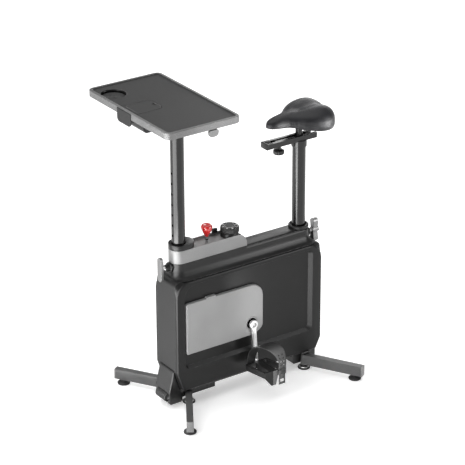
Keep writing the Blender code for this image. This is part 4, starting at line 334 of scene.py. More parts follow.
def smoothingGroup(angle):
    # Joins the node's loose triangles for shading, and keeps every edge over this angle crisp
    group = bpy.data.node_groups.new("crispSmoothing", "GeometryNodeTree")
    group.interface.new_socket("Geometry", in_out="INPUT", socket_type="NodeSocketGeometry")
    group.interface.new_socket("Geometry", in_out="OUTPUT", socket_type="NodeSocketGeometry")
    start = group.nodes.new("NodeGroupInput")
    end = group.nodes.new("NodeGroupOutput")
    joined = group.nodes.new("GeometryNodeMergeByDistance")
    joined.inputs["Distance"].default_value = weldGap
    smooth = group.nodes.new("GeometryNodeSetShadeSmooth")
    smooth.domain = "FACE"
    crisp = group.nodes.new("GeometryNodeSetShadeSmooth")
    crisp.domain = "EDGE"
    crisp.inputs["Shade Smooth"].default_value = False
    turn = group.nodes.new("GeometryNodeInputMeshEdgeAngle")
    over = group.nodes.new("FunctionNodeCompare")
    over.data_type = "FLOAT"
    over.operation = "GREATER_THAN"
    over.inputs["B"].default_value = math.radians(angle)
    for before, after in ((start, joined), (joined, smooth), (smooth, crisp), (crisp, end)):
        group.links.new(before.outputs[0], after.inputs[0])
    group.links.new(turn.outputs["Unsigned Angle"], over.inputs["A"])
    group.links.new(over.outputs["Result"], crisp.inputs["Selection"])
    return group


crispSmoothing = smoothingGroup(34.0)
for name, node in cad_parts.items():
    slotName = node.material_slots[0].material.name.split(".")[0]
    finish = nodeFinish.get(name, slotFinish[slotName])
    for materialSlot in node.material_slots:
        materialSlot.material = finish.material
    node.modifiers.new("crispSmoothing", "NODES").node_group = crispSmoothing
print("nodes finished")


# Shape tools

def settled(name, made):
    mesh = bpy.data.meshes.new(name)
    made.to_mesh(mesh)
    made.free()
    return mesh


def piece(name, mesh, finish, body, stands=(), smooth=True):
    # A new piece of the object, riding on a body
    made = bpy.data.objects.new(name, mesh)
    scene.collection.objects.link(made)
    mesh.materials.clear()
    mesh.materials.append(finish.material)
    if smooth:
        mesh.polygons.foreach_set("use_smooth", [True] * len(mesh.polygons))
    if stands:
        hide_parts(*stands)
    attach(made, body)
    return made


def baked(made):
    # The mesh of an object with its modifiers applied
    graph = bpy.context.evaluated_depsgraph_get()
    return bpy.data.meshes.new_from_object(made.evaluated_get(graph))


def tube(name, path, radius, closed=False):
    # A round strand of 8 sides along a path
    curve = bpy.data.curves.new(name, "CURVE")
    curve.dimensions = "3D"
    curve.bevel_depth = radius
    curve.bevel_resolution = 1
    curve.use_fill_caps = not closed
    spline = curve.splines.new("POLY")
    spline.points.add(len(path) - 1)
    for point, place in zip(spline.points, path):
        point.co = (*place, 1)
    spline.use_cyclic_u = closed
    holder = bpy.data.objects.new(name, curve)
    scene.collection.objects.link(holder)
    mesh = baked(holder)
    bpy.data.objects.remove(holder)
    mesh.name = name
    return mesh


def spun(name, profile, centre, steps, axis="Z"):
    # A profile of (radius, height) turned about an axis through the centre
    made = bmesh.new()
    corners = [made.verts.new((radius, 0, height)) for radius, height in profile]
    edges = [made.edges.new(pair) for pair in zip(corners, corners[1:])]
    bmesh.ops.spin(made, geom=corners + edges, cent=(0, 0, 0), axis=(0, 0, 1), dvec=(0, 0, 0),
                   angle=math.tau, steps=steps, use_merge=True, use_normal_flip=False, use_duplicate=False)
    bmesh.ops.remove_doubles(made, verts=made.verts, dist=weldGap)
    bmesh.ops.recalc_face_normals(made, faces=made.faces)
    turn = {"X": Matrix.Rotation(math.pi / 2, 4, "Y"), "Y": Matrix.Rotation(-math.pi / 2, 4, "X"),
            "Z": Matrix.Identity(4)}[axis]
    made.transform(Matrix.Translation(centre) @ turn)
    return settled(name, made)


def hoop(name, profile, centre, steps, axis="Z"):
    # A profile that closes on itself away from the axis, turned
    return spun(name, profile + profile[:1], centre, steps, axis)


def block(low, high, radius=0.0008, segments=2):
    # A box with rounded edges
    made = bmesh.new()
    bmesh.ops.create_cube(made, size=1)
    for corner in made.verts:
        corner.co = Vector([a + (b - a) * (share + 0.5) for a, b, share in zip(low, high, corner.co)])
    bmesh.ops.bevel(made, geom=made.edges[:], offset=radius, segments=segments, affect="EDGES",
                    profile=0.5, material=-1)
    return settled("block", made)


def dented(mesh, centreX, flutes, depth, low, high):
    # Flutes pressed into a turned knob between two heights
    for corner in mesh.vertices:
        if low < corner.co.z < high:
            away = Vector((corner.co.x - centreX, corner.co.y))
            dent = depth * (0.5 - 0.5 * math.cos(math.atan2(away.y, away.x) * flutes)) ** 1.5
            away *= 1 - dent / away.length
            corner.co.x, corner.co.y = centreX + away.x, away.y


def heading(angle, reach=1.0, height=0.0):
    return Vector((reach * math.cos(angle), reach * math.sin(angle), height))


def combined(name, meshes):
    # Several meshes as one
    made = bmesh.new()
    for mesh in meshes:
        made.from_mesh(mesh)
    return settled(name, made)


print("shape tools ready")


# Saddle cushion

saddleLook = {
    "shrink": 0.0020, "middle": 0.305, "columns": 160, "rows": 56, "crowd": 1.8, "lip": 0.0045,
    "plate": 0.9832, "step": 0.0008, "tail": 0.13, "evening": 8, "far": 0.4,
    "pressure": 4.0, "frames": 20, "cap": 0.0055,
    "channelDeep": 0.0036, "channelWide": 0.018, "crest": 0.0070, "cornerDrop": 0.0040,
    "droop": 0.0125, "crease": 1.002, "hang": 0.034, "forward": 0.015, "halfWidth": 0.108}


def ramp(value, middle, spread):
    return 1 / (1 + math.exp(-(value - middle) / spread))


def saddleHalf(along):
    # Half the saddle's width, from the nose (0) back to the wings (1)
    nose = 0.030 * math.sqrt(min(1.0, max(0.0, along) / 0.10)) + 0.010 * max(0.0, along - 0.10)
    wing = ramp(along, 0.52, 0.075)
    return nose * (1 - wing) + saddleLook["halfWidth"] * wing


def restyled(place, low, high, hanging):
    # Skirts hang lower than the solid's, crests stand higher, wings start further forward
    along = (place.x - low.x) / (high.x - low.x)
    side = abs(place.y) / max(0.016, saddleHalf(along))
    below = min(1.0, max(0.0, (saddleLook["crease"] - place.z) / saddleLook["hang"]))
    upper = ramp(place.z, 1.004, 0.004)
    crest = math.exp(-((side - 0.48) / 0.26) ** 2) * upper
    crest *= ramp(along, 0.55, 0.07) * (1 - ramp(along, 0.90, 0.04))
    channel = math.exp(-(place.y / saddleLook["channelWide"]) ** 2) * upper * ramp(along, 0.50, 0.10)
    corner = ramp(along, 0.88, 0.04) * ramp(side, 0.60, 0.08) * upper
    lift = saddleLook["crest"] * crest - saddleLook["channelDeep"] * channel
    lift -= saddleLook["cornerDrop"] * corner
    drop = saddleLook["droop"] * below * hanging * (ramp(along, 0.04, 0.03) + ramp(along, 0.45, 0.09)) / 2
    ahead = saddleLook["forward"] * math.exp(-((along - 0.50) / 0.16) ** 2) * ramp(side, 0.55, 0.12)
    return place + Vector((-ahead, 0, lift - drop))


def outerPoint(outside, start, way):
    # Where a line from far outside first meets the solid
    return outside.ray_cast(start + way * saddleLook["far"], -way, saddleLook["far"])[0]


def skirtFeet(outside, middle, low, high):
    # The lowest height of the side wall in every direction, level behind and evened out
    feet = []
    for column in range(saddleLook["columns"]):
        way = heading(math.tau * column / saddleLook["columns"])
        height = low
        while height < high and not outerPoint(outside, Vector((middle, 0, height)), way):
            height += saddleLook["step"]
        feet.append(height + saddleLook["step"] / 2)
    tail = round(saddleLook["columns"] * saddleLook["tail"])
    lowest = min(feet)
    for column in range(-tail, tail + 1):
        feet[column] = min(feet[column], lowest + 0.0015)
    for turn in range(saddleLook["evening"]):
        feet = [(feet[i - 1] + feet[i] + feet[(i + 1) % len(feet)]) / 3 for i in range(len(feet))]
    return feet


def saddleForm(low, high):
    # The foam under the cover: rings from the skirt's foot to the top, then round the lip to the underside
    solid = bmesh.new()
    solid.from_mesh(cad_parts["saddle"].data)
    outside = BVHTree.FromBMesh(solid)
    middle, columns, rows = saddleLook["middle"], saddleLook["columns"], saddleLook["rows"]
    feet = skirtFeet(outside, middle, low.z + 0.0010, high.z)
    made = bmesh.new()
    rings = []
    for row in range(rows):
        rise = math.pi / 2 * (row / rows) ** saddleLook["crowd"]
        ring = []
        for column in range(columns):
            start = Vector((middle, 0, feet[column]))
            way = heading(math.tau * column / columns, math.cos(rise), math.sin(rise))
            place, lift = outerPoint(outside, start, way), 0
            while not place and lift < 0.02:
                lift += saddleLook["step"]
                place = outerPoint(outside, start + Vector((0, 0, lift)), way)
            ring.append(made.verts.new(place - Vector((0, 0, lift))))
        rings.append(ring)
    lip, under = saddleLook["lip"], []
    for inset, lift, share in ((1.0, 0.0006, 0), (1.7, 0.5, 1), (2.4, 1.0, 1)):
        ring = []
        for column in range(columns):
            outer = rings[0][column].co
            away = Vector((outer.x - middle, outer.y))
            away *= 1 - inset * lip / away.length
            rise = max(0.0, saddleLook["plate"] - feet[column]) * lift if share else lift
            ring.append(made.verts.new((middle + away.x, away.y, feet[column] + rise)))
        under.append(ring)
    for size in (0.72, 0.42, 0.16):
        ring = []
        for corner in under[2]:
            inwards = middle + (corner.co.x - middle) * size
            ring.append(made.verts.new((inwards, corner.co.y * size, saddleLook["plate"])))
        under.append(ring)
    order = under[::-1] + rings
    for lower, upper in zip(order, order[1:]):
        for column in range(columns):
            after = (column + 1) % columns
            made.faces.new((lower[column], lower[after], upper[after], upper[column]))
    top = made.verts.new(outerPoint(outside, Vector((middle, 0, low.z)), Vector((0, 0, 1))))
    base = made.verts.new((middle, 0, saddleLook["plate"]))
    for column in range(columns):
        after = (column + 1) % columns
        made.faces.new((order[-1][column], order[-1][after], top))
        made.faces.new((order[0][after], order[0][column], base))
    bmesh.ops.recalc_face_normals(made, faces=made.faces)
    made.normal_update()
    for corner in made.verts:
        corner.co -= corner.normal * saddleLook["shrink"]
    solid.free()
    return settled("saddleCushion", made)


def saddleCushion():
    # The cover swells over its foam round a pinned underside, then settles into its moulded shape
    low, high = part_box("saddle")
    cushion = piece("saddleCushion", saddleForm(low, high), saddleVinyl, "saddle_carriage", ("saddle",))
    rest = [corner.co.copy() for corner in cushion.data.vertices]
    pinned = cushion.vertex_groups.new(name="pinned")
    held = list(range(saddleLook["columns"] * saddleLook["rows"], len(rest) - 2)) + [len(rest) - 1]
    pinned.add(held, 1.0, "REPLACE")
    cloth = cushion.modifiers.new("cover", "CLOTH")
    cloth.settings.use_pressure = True
    cloth.settings.uniform_pressure_force = saddleLook["pressure"]
    cloth.settings.vertex_group_mass = "pinned"
    cloth.settings.effector_weights.gravity = 0
    cloth.point_cache.frame_end = saddleLook["frames"]
    for step in range(1, saddleLook["frames"] + 1):
        scene.frame_set(step)
    swollen = baked(cushion)
    scene.frame_set(1)
    cushion.modifiers.clear()
    cushion.vertex_groups.clear()
    for corner, start, end in zip(cushion.data.vertices, rest, swollen.vertices):
        moved = end.co - start
        limit = saddleLook["cap"]
        corner.co = start + moved * (limit / max(limit, moved.length))
    for index, corner in enumerate(cushion.data.vertices):
        beyond = index // saddleLook["columns"] - saddleLook["rows"]
        hanging = 1.0 if beyond < 1 else 0.5 if beyond == 1 else 0.0
        corner.co = restyled(corner.co, low, high, hanging)
    relax = cushion.modifiers.new("relax", "SMOOTH")
    relax.factor = 0.5
    relax.iterations = 5
    finer = cushion.modifiers.new("finer", "SUBSURF")
    finer.levels = finer.render_levels = 1
    cushion.data = baked(cushion)
    cushion.modifiers.clear()
    cushion.data.name = "saddleCushion"
    cushion.data.polygons.foreach_set("use_smooth", [True] * len(cushion.data.polygons))
    return cushion


cushion = saddleCushion()
print("saddle cushion made", len(cushion.data.polygons))


# Toe straps

toe = {
    "inner": 0.1003, "outer": 0.2085, "foot": -0.008, "straight": 0.022, "high": 0.096, "lean": 0.12,
    "front": (-0.050, -0.040, 0.018), "rear": (-0.014, 0.030, 0.050), "thick": 0.0030,
    "rows": 66, "columns": 16, "tabWide": 0.030, "tabLow": -0.050,
    "holeRows": range(5, 20, 3), "holeColumns": (4, 5, 10, 11)}


def threeWay(values, share):
    # A value that runs through the inner, middle and outer ones
    inner, middle, outer = values
    bend = 4 * share * (1 - share) * middle
    return (1 - share) * (1 - 2 * share) * inner + bend + share * (2 * share - 1) * outer


def strapPath(step, steps):
    # A point (across, up) of the arch, from its outer foot over the shoe to its inner foot
    middle = (toe["inner"] + toe["outer"]) / 2
    half = (toe["outer"] - toe["inner"]) / 2
    leg = toe["straight"] - toe["foot"]
    arc = math.pi * (half + toe["high"] - toe["straight"]) / 2
    way = (2 * leg + arc) * step / steps
    if way < leg:
        return toe["outer"], toe["foot"] + way
    if way > leg + arc:
        return toe["inner"], toe["straight"] - (way - leg - arc)
    angle = math.pi * (way - leg) / arc
    rise = toe["high"] - toe["straight"]
    return middle + half * math.cos(angle), toe["straight"] + rise * math.sin(angle)


def toeStrap(name, side, end):
    # Wide over the shoe, narrow at its feet, perforated where the buckle takes it up
    low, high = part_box(end + "_pedal_spindle")
    centreX, centreZ = (low.x + high.x) / 2, (low.z + high.z) / 2
    made = bmesh.new()
    grid = []
    for row in range(toe["rows"] + 1):
        across, up = strapPath(row, toe["rows"])
        share = (across - toe["inner"]) / (toe["outer"] - toe["inner"])
        front, rear = threeWay(toe["front"], share), threeWay(toe["rear"], share)
        lean = toe["lean"] * max(0.0, up)
        line = []
        for column in range(toe["columns"] + 1):
            along = front + (rear - front) * column / toe["columns"] + lean
            line.append(made.verts.new((centreX + along, side * across, centreZ + up)))
        grid.append(line)
    for row in range(toe["rows"]):
        for column in range(toe["columns"]):
            if row not in toe["holeRows"] or column not in toe["holeColumns"]:
                made.faces.new((grid[row][column], grid[row][column + 1],
                                grid[row + 1][column + 1], grid[row + 1][column]))
    bmesh.ops.recalc_face_normals(made, faces=made.faces)
    outward = max(made.faces, key=lambda face: face.calc_center_median().z).normal.z
    if outward < 0:
        bmesh.ops.reverse_faces(made, faces=made.faces)
    strap = bpy.data.objects.new(name + "Band", settled(name + "Band", made))
    scene.collection.objects.link(strap)
    thick = strap.modifiers.new("thick", "SOLIDIFY")
    thick.thickness = toe["thick"]
    thick.offset = -1.0
    rim = strap.modifiers.new("rim", "BEVEL")
    rim.width = 0.0007
    rim.segments = 2
    rim.limit_method = "ANGLE"
    rim.angle_limit = math.radians(50)
    band = baked(strap)
    bpy.data.objects.remove(strap)
    rear = centreX + toe["rear"][2]
    front = rear - toe["tabWide"]
    face = toe["outer"] - 0.0012

    def part(x0, x1, y0, y1, z0, z1, radius=0.0008):
        near, far = sorted((side * y0, side * y1))
        return block((x0, near, centreZ + z0), (x1, far, centreZ + z1), radius)

    parts = [band, part(front - 0.001, rear - 0.001, face, face + 0.0055, -0.008, 0.010, 0.0012)]
    for ridge in range(4):
        start = -0.0065 + ridge * 0.0041
        parts.append(part(front + 0.001, rear - 0.003, face + 0.004, face + 0.0088,
                          start, start + 0.0024, 0.0007))
    thin = (face, face + 0.0026)
    parts.append(part(front, front + 0.0062, *thin, toe["tabLow"], -0.004))
    parts.append(part(rear - 0.0082, rear - 0.002, *thin, toe["tabLow"], -0.004))
    parts.append(part(front + 0.003, rear - 0.005, *thin, toe["tabLow"], toe["tabLow"] + 0.0095))
    parts.append(part(front + 0.003, rear - 0.005, *thin, toe["tabLow"] + 0.0215, -0.004))
    return piece(name, combined(name, parts), strapRubber, end + "_pedal_body", (end + "_toe_strap",))


for end, side in bothSides:
    toeStrap(end + "ToeStrap", side, end)
print("toe straps made")


# Resistance dial

dialLook = {
    "x": -0.0002, "radius": 0.0355, "top": 0.6455, "foot": 0.6233, "flutes": 44, "steps": 352,
    "depth": 0.0011, "first": 85.7, "sweep": 300.0, "numbers": 8, "numberHigh": 0.0125,
    "arcFirst": 105.7, "arcSweep": 260.0, "arcRadius": 0.0185}


def dialBody():
    # The knob on its shaft: a turned profile with flutes in its side
    radius, top, foot = dialLook["radius"], dialLook["top"], dialLook["foot"]
    profile = [
        (0.0, 0.414), (0.004, 0.414), (0.004, foot), (radius - 0.003, foot), (radius - 0.0012, foot + 0.0006),
        (radius - 0.0004, foot + 0.0018), (radius - 0.0004, foot + 0.003), (radius - 0.0008, top - 0.0062),
        (radius - 0.0012, top - 0.0046), (radius - 0.0020, top - 0.0034), (radius - 0.0034, top - 0.0020),
        (radius - 0.0090, top - 0.0006), (radius - 0.0100, top - 0.0004), (radius - 0.0106, top - 0.0012),
        (radius - 0.0140, top - 0.0012), (0.0, top - 0.0010)]
    knob = spun("dialBody", profile, (dialLook["x"], 0, 0), dialLook["steps"])
    for share, low, high in ((0.3, 0.0012, 0.0024), (1.0, 0.0024, 0.0168), (0.3, 0.0168, 0.0180)):
        dented(knob, dialLook["x"], dialLook["flutes"], dialLook["depth"] * share, foot + low, foot + high)
    return knob


def figure(text, size, thick):
    # A plain number as a mesh, in the middle of its own place
    curve = bpy.data.curves.new("figure", "FONT")
    curve.body = text
    curve.size = size
    curve.extrude = thick
    curve.offset = 0.0005
    curve.align_x = "CENTER"
    curve.align_y = "CENTER"
    holder = bpy.data.objects.new("figure", curve)
    scene.collection.objects.link(holder)
    mesh = baked(holder)
    bpy.data.objects.remove(holder)
    return mesh


def dialMarks():
    # Plain numbers and ticks round the sloping shoulder, and an arc on the top
    parts = []
    radius, top, numbers = dialLook["radius"], dialLook["top"], dialLook["numbers"]
    centre = Vector((dialLook["x"], 0, top))
    for number in range(numbers):
        angle = math.radians(dialLook["first"] + number * dialLook["sweep"] / (numbers - 1))
        mark = figure(str(number + 1), dialLook["numberHigh"], 0.0002)
        place = Matrix.Translation(centre + heading(angle, radius - 0.0078, -0.0007))
        mark.transform(place @ Matrix.Rotation(angle + math.pi / 2, 4, "Z"))
        parts.append(mark)
    ticks = 4 * (numbers - 1)
    for tick in range(ticks + 1):
        angle = math.radians(dialLook["first"] + tick * dialLook["sweep"] / ticks)
        long = 0.0009 if tick % 4 else 0.0016
        outer = radius - 0.0030
        made = block((outer - long, -0.00035, -0.0030), (outer, 0.00035, -0.0019), 0.0001, 1)
        made.transform(Matrix.Translation(centre) @ Matrix.Rotation(angle, 4, "Z"))
        parts.append(made)
    arc = []
    for step in range(97):
        angle = math.radians(dialLook["arcFirst"] + dialLook["arcSweep"] * step / 96)
        arc.append(centre + heading(angle, dialLook["arcRadius"], -0.0011))
    parts.append(tube("arc", arc, 0.00045))
    return combined("dialMarks", parts)


piece("resistanceDial", dialBody(), mouldedBlack, "dial", ("resistance_dial",))
piece("dialMarks", dialMarks(), dialPrint, "dial", smooth=False)
print("dial made")


# Red brake knob on its stem

knobLook = {"x": -0.1002, "top": 0.6745}


def brakeKnob():
    # A cone with a softly dished top
    below = [
        (0.0, 0.0016), (0.0060, 0.0014), (0.0105, 0.0004), (0.0140, 0.0002), (0.0172, 0.0014),
        (0.0196, 0.0042), (0.0210, 0.0080), (0.0213, 0.0112), (0.0206, 0.0150), (0.0188, 0.0202),
        (0.0160, 0.0262), (0.0128, 0.0326), (0.0096, 0.0388), (0.0074, 0.0430), (0.0064, 0.0458),
        (0.0060, 0.0465), (0.0, 0.0465)]
    profile = [(radius, knobLook["top"] - down) for radius, down in below]
    return spun("brakeKnob", profile, (knobLook["x"], 0, 0), 64)


piece("brakeKnob", brakeKnob(), glossRed, "brake", ("brake_knob",))
collar = [(0.0046, 0.6156), (0.0064, 0.6158), (0.0070, 0.6166), (0.0070, 0.6188),
          (0.0064, 0.6196), (0.0046, 0.6198)]
piece("stemCollar", hoop("stemCollar", collar, (knobLook["x"], 0, 0), 40), pianoBlack, "brake")
print("red knob made")


# Seat of the dial, and the small lug on the far rim

seatLook = {"x": -0.0002, "radius": 0.0336, "bore": 0.0046, "foot": 0.6052, "top": 0.6228}
lugLook = {"low": (-0.0560, 0.0270, 0.6155), "high": (-0.0350, 0.0366, 0.6325)}


def dialSeat():
    radius, bore, foot, top = (seatLook[key] for key in ("radius", "bore", "foot", "top"))
    profile = [
        (bore, foot), (radius, foot), (radius, foot + 0.0050), (radius - 0.0012, foot + 0.0062),
        (radius - 0.0012, top - 0.0026), (radius - 0.0022, top - 0.0006), (radius - 0.0036, top), (bore, top)]
    ring = hoop("dialSeat", profile, (seatLook["x"], 0, 0), 72)
    return combined("dialSeat", [ring, block(lugLook["low"], lugLook["high"], 0.0016, 3)])


piece("dialSeat", dialSeat(), mouldedBlack, "base", ("dial_seat",))
print("dial seat made")


# Crank arms

armLook = {
    "x": 0.0448, "z": 0.266, "inner": 0.0802, "hub": 0.0163, "eye": 0.0121, "waist": 0.0086,
    "waistEnd": 0.0100, "thick": 0.0112, "rim": 0.0026, "hollow": 0.0012, "edge": 0.0013, "rows": 72}
# Distance from the axis, and out from the arm's face
bossProfile = [(0.0, -0.004), (0.0126, -0.004), (0.0128, 0.0006), (0.0120, 0.0016), (0.0104, 0.0019),
               (0.0097, 0.0010), (0.0, 0.0008)]
boltProfile = [(0.0, -0.003), (0.0088, -0.003), (0.0088, 0.0020), (0.0078, 0.0031), (0.0045, 0.0037),
               (0.0, 0.0039)]
washerProfile = [(0.0, -0.004), (0.0094, -0.004), (0.0095, 0.0003), (0.0088, 0.0010), (0.0, 0.0012)]


def armHalf(along, length):
    # Half the arm's width at a distance from the hub's centre
    hub = math.sqrt(max(0.0, armLook["hub"] ** 2 - along ** 2))
    eye = math.sqrt(max(0.0, armLook["eye"] ** 2 - (along - length) ** 2))
    share = along / length
    waist = armLook["waist"] * (1 - share) + armLook["waistEnd"] * share if 0 < share < 1 else 0.0
    return (hub ** 8 + eye ** 8 + waist ** 8) ** 0.125


def crankArm(name, side, end):
    # Forged: round hub, narrow waist, an eye for the spindle, and a long shallow hollow outside
    low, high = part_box(end + "_pedal_spindle")
    hub = Vector((armLook["x"], 0, armLook["z"]))
    way = Vector(((low.x + high.x) / 2, 0, (low.z + high.z) / 2)) - hub
    length = way.length
    along = way / length
    across = Vector((-along.z, 0, along.x))
    upper, lower = [], []
    reach = length + armLook["hub"] + armLook["eye"]
    for row in range(1, armLook["rows"]):
        far = reach * (1 - math.cos(math.pi * row / armLook["rows"])) / 2 - armLook["hub"]
        half = armHalf(far, length)
        upper.append(hub + along * far + across * half)
        lower.append(hub + along * far - across * half)
    tips = [hub - along * armLook["hub"], hub + along * (length + armLook["eye"])]
    made = bmesh.new()
    outline = [made.verts.new(place + Vector((0, side * armLook["inner"], 0)))
               for place in tips[:1] + upper + tips[1:] + lower[::-1]]
    back = made.faces.new(outline)
    grown = bmesh.ops.extrude_face_region(made, geom=[back])["geom"]
    front = [face for face in grown if isinstance(face, bmesh.types.BMFace)]
    bmesh.ops.translate(made, verts=front[0].verts[:], vec=(0, side * armLook["thick"], 0))
    bmesh.ops.recalc_face_normals(made, faces=made.faces)
    rims = [edge for edge in made.edges if len(edge.link_faces) == 2 and edge.calc_face_angle() > 1.2]
    bmesh.ops.bevel(made, geom=rims, offset=armLook["edge"], segments=2, affect="EDGES",
                    profile=0.5, material=-1)
    outer = max(made.faces, key=lambda face: side * face.calc_center_median().y * 10 + face.calc_area())
    bmesh.ops.inset_region(made, faces=[outer], thickness=armLook["rim"], depth=0.0)
    bmesh.ops.inset_region(made, faces=[outer], thickness=armLook["hollow"], depth=-armLook["hollow"])
    bmesh.ops.triangulate(made, faces=[face for face in made.faces if len(face.verts) > 4])
    bmesh.ops.recalc_face_normals(made, faces=made.faces)
    face = side * (armLook["inner"] + armLook["thick"])

    def turned(name, profile, middle, steps):
        sided = [(reach, side * out) for reach, out in profile]
        return spun(name, sided, (middle.x, face, middle.z), steps, "Y")

    piece(end + "CrankBolt", turned(end + "CrankBolt", boltProfile, hub, 48), darkSteel, "crank")
    return combined(name, [settled(name, made), turned("boss", bossProfile, hub, 56),
                           turned("washer", washerProfile, hub + way, 40)])


for end, side in bothSides:
    name = end + "CrankArm"
    piece(name, crankArm(name, side, end), armSteel, "crank", (end + "_crank_arm",), False)
lip = [(0.0212, 0.0), (0.0268, 0.0), (0.0266, -0.0006), (0.0250, -0.0013), (0.0228, -0.0015),
       (0.0212, -0.0006)]
piece("crankHoleLip", hoop("crankHoleLip", lip, (armLook["x"], -0.0742, armLook["z"]), 72, "Y"),
      silverPaint, "base")
print("crank arms made")


# Pin handles: bright sleeves behind the grips, and a cap on the lobed knob

sleeve = [(0.0048, 0.0), (0.0082, 0.0), (0.0082, 0.0022), (0.0064, 0.0034), (0.0064, 0.0112),
          (0.0076, 0.0122), (0.0076, 0.0142), (0.0048, 0.0146)]
sleeve += sleeve[:1]
backwards = [(radius, -height * 1.30) for radius, height in sleeve]
button = [(0.0, -0.002), (0.0085, -0.002), (0.0086, 0.0004), (0.0078, 0.0013), (0.0050, 0.0019),
          (0.0, 0.0021)]
for name, turned, x, z, body in (
        ("deskPinSleeve", sleeve, -0.2941, 0.548, "desk_pin"),
        ("seatPinSleeve", backwards, 0.3757, 0.531, "seat_pin"),
        ("seatPinCap", button, 0.3957, 0.531, "seat_pin")):
    piece(name, spun(name, turned, (x, 0, z), 40, "X"), armSteel, body)
print("pin sleeves made")


# Slider knob below the rail

clampLook = {"x": 0.2158, "flutes": 12, "depth": 0.0021, "low": 0.8750, "high": 0.8872}
clampProfile = [
    (0.0, 0.9190), (0.0046, 0.9190), (0.0046, 0.9072), (0.0084, 0.9070), (0.0088, 0.9060),
    (0.0088, 0.8935), (0.0104, 0.8918), (0.0150, 0.8900), (0.0182, 0.8886), (0.0198, 0.8874),
    (0.0204, 0.8860), (0.0205, 0.8840), (0.0205, 0.8780), (0.0201, 0.8756), (0.0190, 0.8742),
    (0.0170, 0.8734), (0.0125, 0.8731), (0.0118, 0.8738), (0.0110, 0.8746), (0.0060, 0.8744),
    (0.0, 0.8742)]
clampKnob = spun("sliderKnob", clampProfile, (clampLook["x"], 0, 0), 144)
dented(clampKnob, *(clampLook[key] for key in ("x", "flutes", "depth", "low", "high")))
piece("sliderKnob", clampKnob, mouldedBlack, "slider_clamp", ("slider_knob",))
ribs = []
for step in range(3):
    start = 0.1635 + step * 0.0062
    ribs.append(block((start, -0.0200, 0.9274), (start + 0.0022, 0.0200, 0.9289), 0.0005))
piece("railRibs", combined("railRibs", ribs), mouldedBlack, "seat_mast")
print("slider knob made")


# Transport roller

rollerLook = {
    "x": -0.2942, "z": 0.043, "radius": 0.018, "half": 0.031, "bore": 0.0044, "grooves": 6, "deep": 0.0012,
    "plain": 0.006}


def transportRoller():
    radius, half, deep = rollerLook["radius"], rollerLook["half"], rollerLook["deep"]
    side = [(rollerLook["bore"], half), (0.0100, half), (0.0104, half - 0.0010), (0.0140, half - 0.0010),
            (0.0144, half), (radius - 0.0016, half), (radius - 0.0004, half - 0.0008),
            (radius, half - 0.0024)]
    profile = [(reach, -height) for reach, height in side]
    pitch = 2 * (half - rollerLook["plain"]) / rollerLook["grooves"]
    for groove in range(rollerLook["grooves"]):
        start = rollerLook["plain"] - half + pitch * (groove + 0.5)
        profile += [(radius, start - 0.0015), (radius - deep, start - 0.0009),
                    (radius - deep, start + 0.0009), (radius, start + 0.0015)]
    return hoop("transportRoller", profile + side[::-1], (rollerLook["x"], 0, rollerLook["z"]), 64, "Y")


piece("transportRoller", transportRoller(), treadRubber, "roller", ("transport_roller",), False)
print("roller made")


# Leg plugs, pivot caps and the rings on the pivot feet

legLook = {
    "beyond": 0.032, "half": 0.0131, "low": 0.0174, "high": 0.0587, "thick": 0.0030, "sunk": 0.0006}


def legPlug(name, end):
    # A moulded plug with a lip over the leg's open end
    low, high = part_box(end + "_leg_foot")
    pivotLow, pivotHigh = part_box(end + "_pivot_foot")
    foot, pivot = (low + high) / 2, (pivotLow + pivotHigh) / 2
    way = Vector((foot.x - pivot.x, foot.y - pivot.y, 0))
    reach = way.length + legLook["beyond"] - legLook["sunk"]
    made = block((reach - legLook["thick"], -legLook["half"], legLook["low"]),
                 (reach + legLook["thick"] - legLook["sunk"], legLook["half"], legLook["high"]), 0.0016, 3)
    turn = Matrix.Rotation(math.atan2(way.y, way.x), 4, "Z")
    made.transform(Matrix.Translation((pivot.x, pivot.y, 0)) @ turn)
    return piece(name, made, rimSilver, end + "_leg_body")


capProfile = [(0.0, 0.0585), (0.0108, 0.0585), (0.0110, 0.0612), (0.0100, 0.0628), (0.0070, 0.0640),
              (0.0, 0.0644)]
ringProfile = [(0.0110, 0.0076), (0.0205, 0.0076), (0.0206, 0.0086), (0.0198, 0.0094), (0.0118, 0.0094)]
caps, rings = [], []
for end in ("near_front", "far_front", "near_rear", "far_rear"):
    across, along = end.split("_")
    legPlug(across + along.title() + "LegPlug", end)
    low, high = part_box(end + "_pivot_foot")
    centre = ((low.x + high.x) / 2, (low.y + high.y) / 2, 0)
    caps.append(spun("cap", capProfile, centre, 40))
    rings.append(hoop("ring", ringProfile, centre, 56))
piece("pivotCaps", combined("pivotCaps", caps), mouldedBlack, "base")
piece("pivotRings", combined("pivotRings", rings), armSteel, "base")
print("legs dressed")


# Tray: ribbed mat of the cup recess, a black ring on its wall as painted shade, a grey bead on its rim as a
# painted highlight, and the stand's bead and lip

cupLook = {
    "x": -0.3722, "y": 0.171, "radius": 0.047, "floor": 1.1689, "top": 1.1799, "mat": 0.0440,
    "thick": 0.0012, "proud": 0.0020, "rings": 7, "pitch": 0.0055}
cupCentre = (cupLook["x"], cupLook["y"], 0)


def cupMat():
    # A thin rubber disc with rings pressed into it
    floor, edge = cupLook["floor"], cupLook["mat"]
    flat, proud = floor + cupLook["thick"], floor + cupLook["proud"]
    profile = [(0.0, flat)]
    for step in range(cupLook["rings"]):
        radius = 0.0050 + step * cupLook["pitch"]
        profile += [(radius, flat), (radius + 0.0006, proud),
                    (radius + 0.0018, proud), (radius + 0.0024, flat)]
    profile += [(edge - 0.0005, flat), (edge, floor + cupLook["thick"] / 2), (edge, floor), (0.0, floor)]
    return spun("cupMat", profile, cupCentre, 72)


